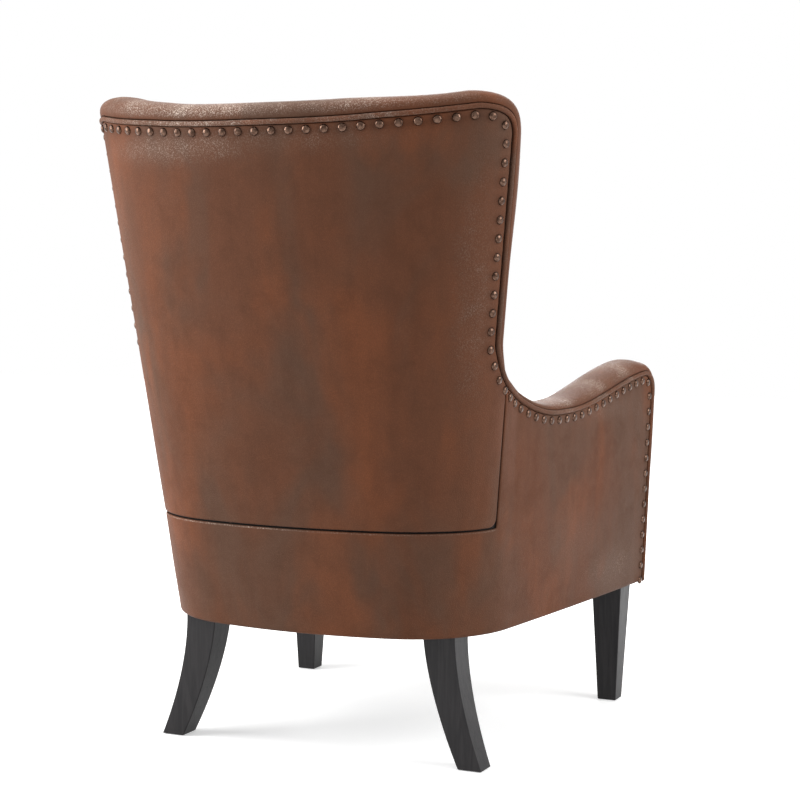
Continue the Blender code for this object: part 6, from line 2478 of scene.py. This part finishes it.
@dataclass
class Legs:
    """The four legs: sabre-curved behind, straight and tapered in front."""

    shell: Shell
    finishes: Finishes
    rear_foot: tuple = (0.2505, 0.1949)
    rear_top: tuple = (0.2, 0.1845)
    rear_half: float = 0.0187
    rear_power: float = 1.7
    front_inset: tuple = (-0.036, 0.0538)
    front_rake: tuple = (0.0, 0.004)
    front_half: float = 0.0158
    front_power: float = 1.0

    def build(self) -> None:
        """Make the legs of both sides."""
        for side in Side:
            sign = np.array([side.value, 1.0])
            rear_foot, rear_top = sign * self.rear_foot, sign * self.rear_top
            front_top = sign * (self.shell.front + self.front_inset)
            front_foot = front_top + self.front_rake
            for name, foot, top, half, power in (
                ("leg_rear_", rear_foot, rear_top, self.rear_half, self.rear_power),
                ("leg_front_", front_foot, front_top, self.front_half, self.front_power),
            ):
                Leg(name + side.label, foot, top, half, power).build(self.finishes.legs)


@dataclass
class InnerFrame:
    """CAD nodes that show as they are, with their finishes."""

    beech_dark: Colour = (0.3, 0.19, 0.1)
    beech_light: Colour = (0.47, 0.33, 0.2)

    def finishes(self) -> dict[str, Material]:
        """Finishes of the kept nodes, by the starts of their names.

        Returns:
            Materials by the start of a node's name.
        """
        beech = {"dark": self.beech_dark, "light": self.beech_light}
        rail = TimberFinish("rail_beech", stretch=(5.0, 60.0, 60.0), **beech).build()
        post = TimberFinish("post_beech", **beech).build()
        panel = TimberFinish(
            "panel_ply", dark=(0.38, 0.26, 0.15), light=(0.55, 0.41, 0.26),
            stretch=(50.0, 6.0, 50.0),
        ).build()
        steel = MetalFinish(
            "steel_zinc", bright=(0.56, 0.56, 0.57), dull=(0.3, 0.3, 0.31)
        ).build()
        wire = MetalFinish(
            "steel_wire", bright=(0.42, 0.42, 0.43), dull=(0.16, 0.16, 0.17), roughness=0.45
        ).build()
        web = ClothFinish(
            "webbing_jute", thread=(0.36, 0.26, 0.15), gap=(0.12, 0.08, 0.05), pitch=1500.0
        ).build()
        rails = "front_rail", "rear_rail", "back_top_rail", "back_bottom_rail"
        kinds = {"glide": NylonFinish("glide_matt").build()}
        kinds |= {"seat_spring": wire, "back_webbing": web}
        kinds |= dict.fromkeys(("leg_bolt", "back_hook", "arm_hook"), steel)
        kinds |= dict.fromkeys(("arm_panel", "side_rail"), panel)
        kinds |= dict.fromkeys(("wing_post", "rear_block", "front_block"), post)
        kinds |= dict.fromkeys(rails, rail)
        return kinds

    def dress(self) -> None:
        """Give each kept node its finish."""
        kinds = self.finishes()
        for name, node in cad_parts.items():
            for start in filter(name.startswith, kinds):
                for place in node.material_slots:
                    place.material = kinds[start]
                LOG.info("%s: finish %s", name, kinds[start].name)


@dataclass(frozen=True)
class FloorFinish(Finish):
    """Pale floor that glows to the eye away from the chair and is clear from below."""

    tones: tuple = ((0.8, 0.8, 0.8), (0.82, 0.82, 0.82))
    roughness: float = 0.9
    glow: float = 0.48
    fade: tuple = (0.45, 1.6)

    def sockets(self, sketch: Sketch) -> dict[str, Feed]:
        """What the shader's sockets are fed with.

        Args:
            sketch: Sketch of the material.

        Returns:
            Values and links by the names of the sockets.
        """
        spot = sketch.place()
        away = sketch.add("ShaderNodeVectorMath", {0: spot}, operation="LENGTH").outputs["Value"]
        glow = sketch.ramp(away, *self.fade, self.glow, 1.0)
        under = sketch.add("ShaderNodeNewGeometry").outputs["Backfacing"]
        return {
            "Base Color": sketch.mix(sketch.noise(spot, 3.0, 2.0), *self.tones),
            "Roughness": self.roughness,
            "Specular IOR Level": 0.0,
            "Emission Color": (1.0, 1.0, 1.0),
            "Emission Strength": sketch.times(sketch.seen(), glow),
            "Alpha": sketch.minus(1.0, under),
        }


@dataclass(frozen=True)
class Lamp:
    """Soft square lamp that faces the chair."""

    name: str
    place: tuple
    size: float
    power: float


@dataclass
class Studio:
    """Pale floor, soft lamps and the camera."""

    camera_place: tuple = (-1.3043, 2.6966, 0.7446)
    yaw: float = math.radians(25.12)
    pitch: float = math.radians(4.36)
    lens: float = 85.5
    sensor: float = 36.0
    far: float = 100.0
    ambient: float = 0.42
    floor_size: float = 14.0
    floor_cells: int = 8
    target: tuple = (0.0, 0.0, 0.5)
    lamps: tuple = (
        Lamp("key", (2.2, 1.3, 1.4), 1.8, 86.0),
        Lamp("fill", (-2.5, -0.1, 1.7), 1.8, 54.0),
        Lamp("overhead", (0.2, 0.3, 2.7), 1.6, 42.0),
        Lamp("front", (0.6, -2.8, 1.5), 2.0, 40.0),
    )

    def put(self, name: str, data: bpy.types.ID, place: tuple, ahead: Vector) -> Piece:
        """Put a camera or lamp at a place, looking ahead.

        Args:
            name: Name of the object.
            data: Its camera or lamp.
            place: Where it stands.
            ahead: Direction that it faces.

        Returns:
            The object.
        """
        item = bpy.data.objects.new(name, data)
        item.location = place
        item.rotation_euler = ahead.to_track_quat("-Z", "Y").to_euler()
        bpy.context.collection.objects.link(item)
        return item

    def build_camera(self) -> None:
        """Place the camera at the photograph's angle."""
        data = bpy.data.cameras.new("view")
        data.lens = self.lens
        data.sensor_width = self.sensor
        data.clip_end = self.far
        level, drop = math.cos(self.pitch), -math.sin(self.pitch)
        ahead = Vector((math.sin(self.yaw) * level, -math.cos(self.yaw) * level, drop))
        bpy.context.scene.camera = self.put("view", data, self.camera_place, ahead)

    def build_lamps(self) -> None:
        """Place the lamps."""
        for lamp in self.lamps:
            data = bpy.data.lights.new(lamp.name, "AREA")
            data.shape = "SQUARE"
            data.size = lamp.size
            data.energy = lamp.power
            self.put(lamp.name, data, lamp.place, Vector(self.target) - Vector(lamp.place))

    def build_world(self) -> None:
        """White to the eye and in reflections, softer as light."""
        world = bpy.data.worlds.new("studio")
        world.use_nodes = True
        bpy.context.scene.world = world
        sketch = Sketch(world.node_tree)
        values = {0: sketch.seen(), 3: self.ambient, 4: 1.0}
        strength = sketch.add("ShaderNodeMapRange", values).outputs[0]
        ground = world.node_tree.nodes["Background"]
        sketch.dress(ground, {"Color": (1.0, 1.0, 1.0), "Strength": strength})

    def build_floor(self) -> None:
        """Lay the pale floor, which keeps the chair's shadow."""
        half, cells = self.floor_size / 2, self.floor_cells
        marks = np.linspace(-half, half, cells + 1)
        points = [(x, y, 0.0) for y in marks for x in marks]
        mesh = bpy.data.meshes.new("floor")
        mesh.from_pydata(points, [], grid_faces(cells, cells))
        mesh.materials.append(FloorFinish("floor_pale").build())
        floor = bpy.data.objects.new("floor", mesh)
        bpy.context.collection.objects.link(floor)

    def build(self) -> None:
        """Set up the whole studio."""
        self.build_camera()
        self.build_lamps()
        self.build_world()
        self.build_floor()
        bpy.context.scene.view_settings.view_transform = "Standard"


def main() -> None:
    """Build the dressed chair and its studio."""
    logging.basicConfig(level=logging.INFO, format="%(name)s: %(message)s")
    shell, joint, finishes = Shell(), Joint(), Finishes()
    trim = Trim(shell, finishes)
    Studio().build()
    InnerFrame().dress()
    arms = Arms(shell, joint, trim, finishes)
    BackUnit(shell, joint, trim, finishes, arms.line).build()
    arms.build()
    Legs(shell, finishes).build()
    Seat(shell, joint, finishes).build()


if __name__ == "__main__":
    main()
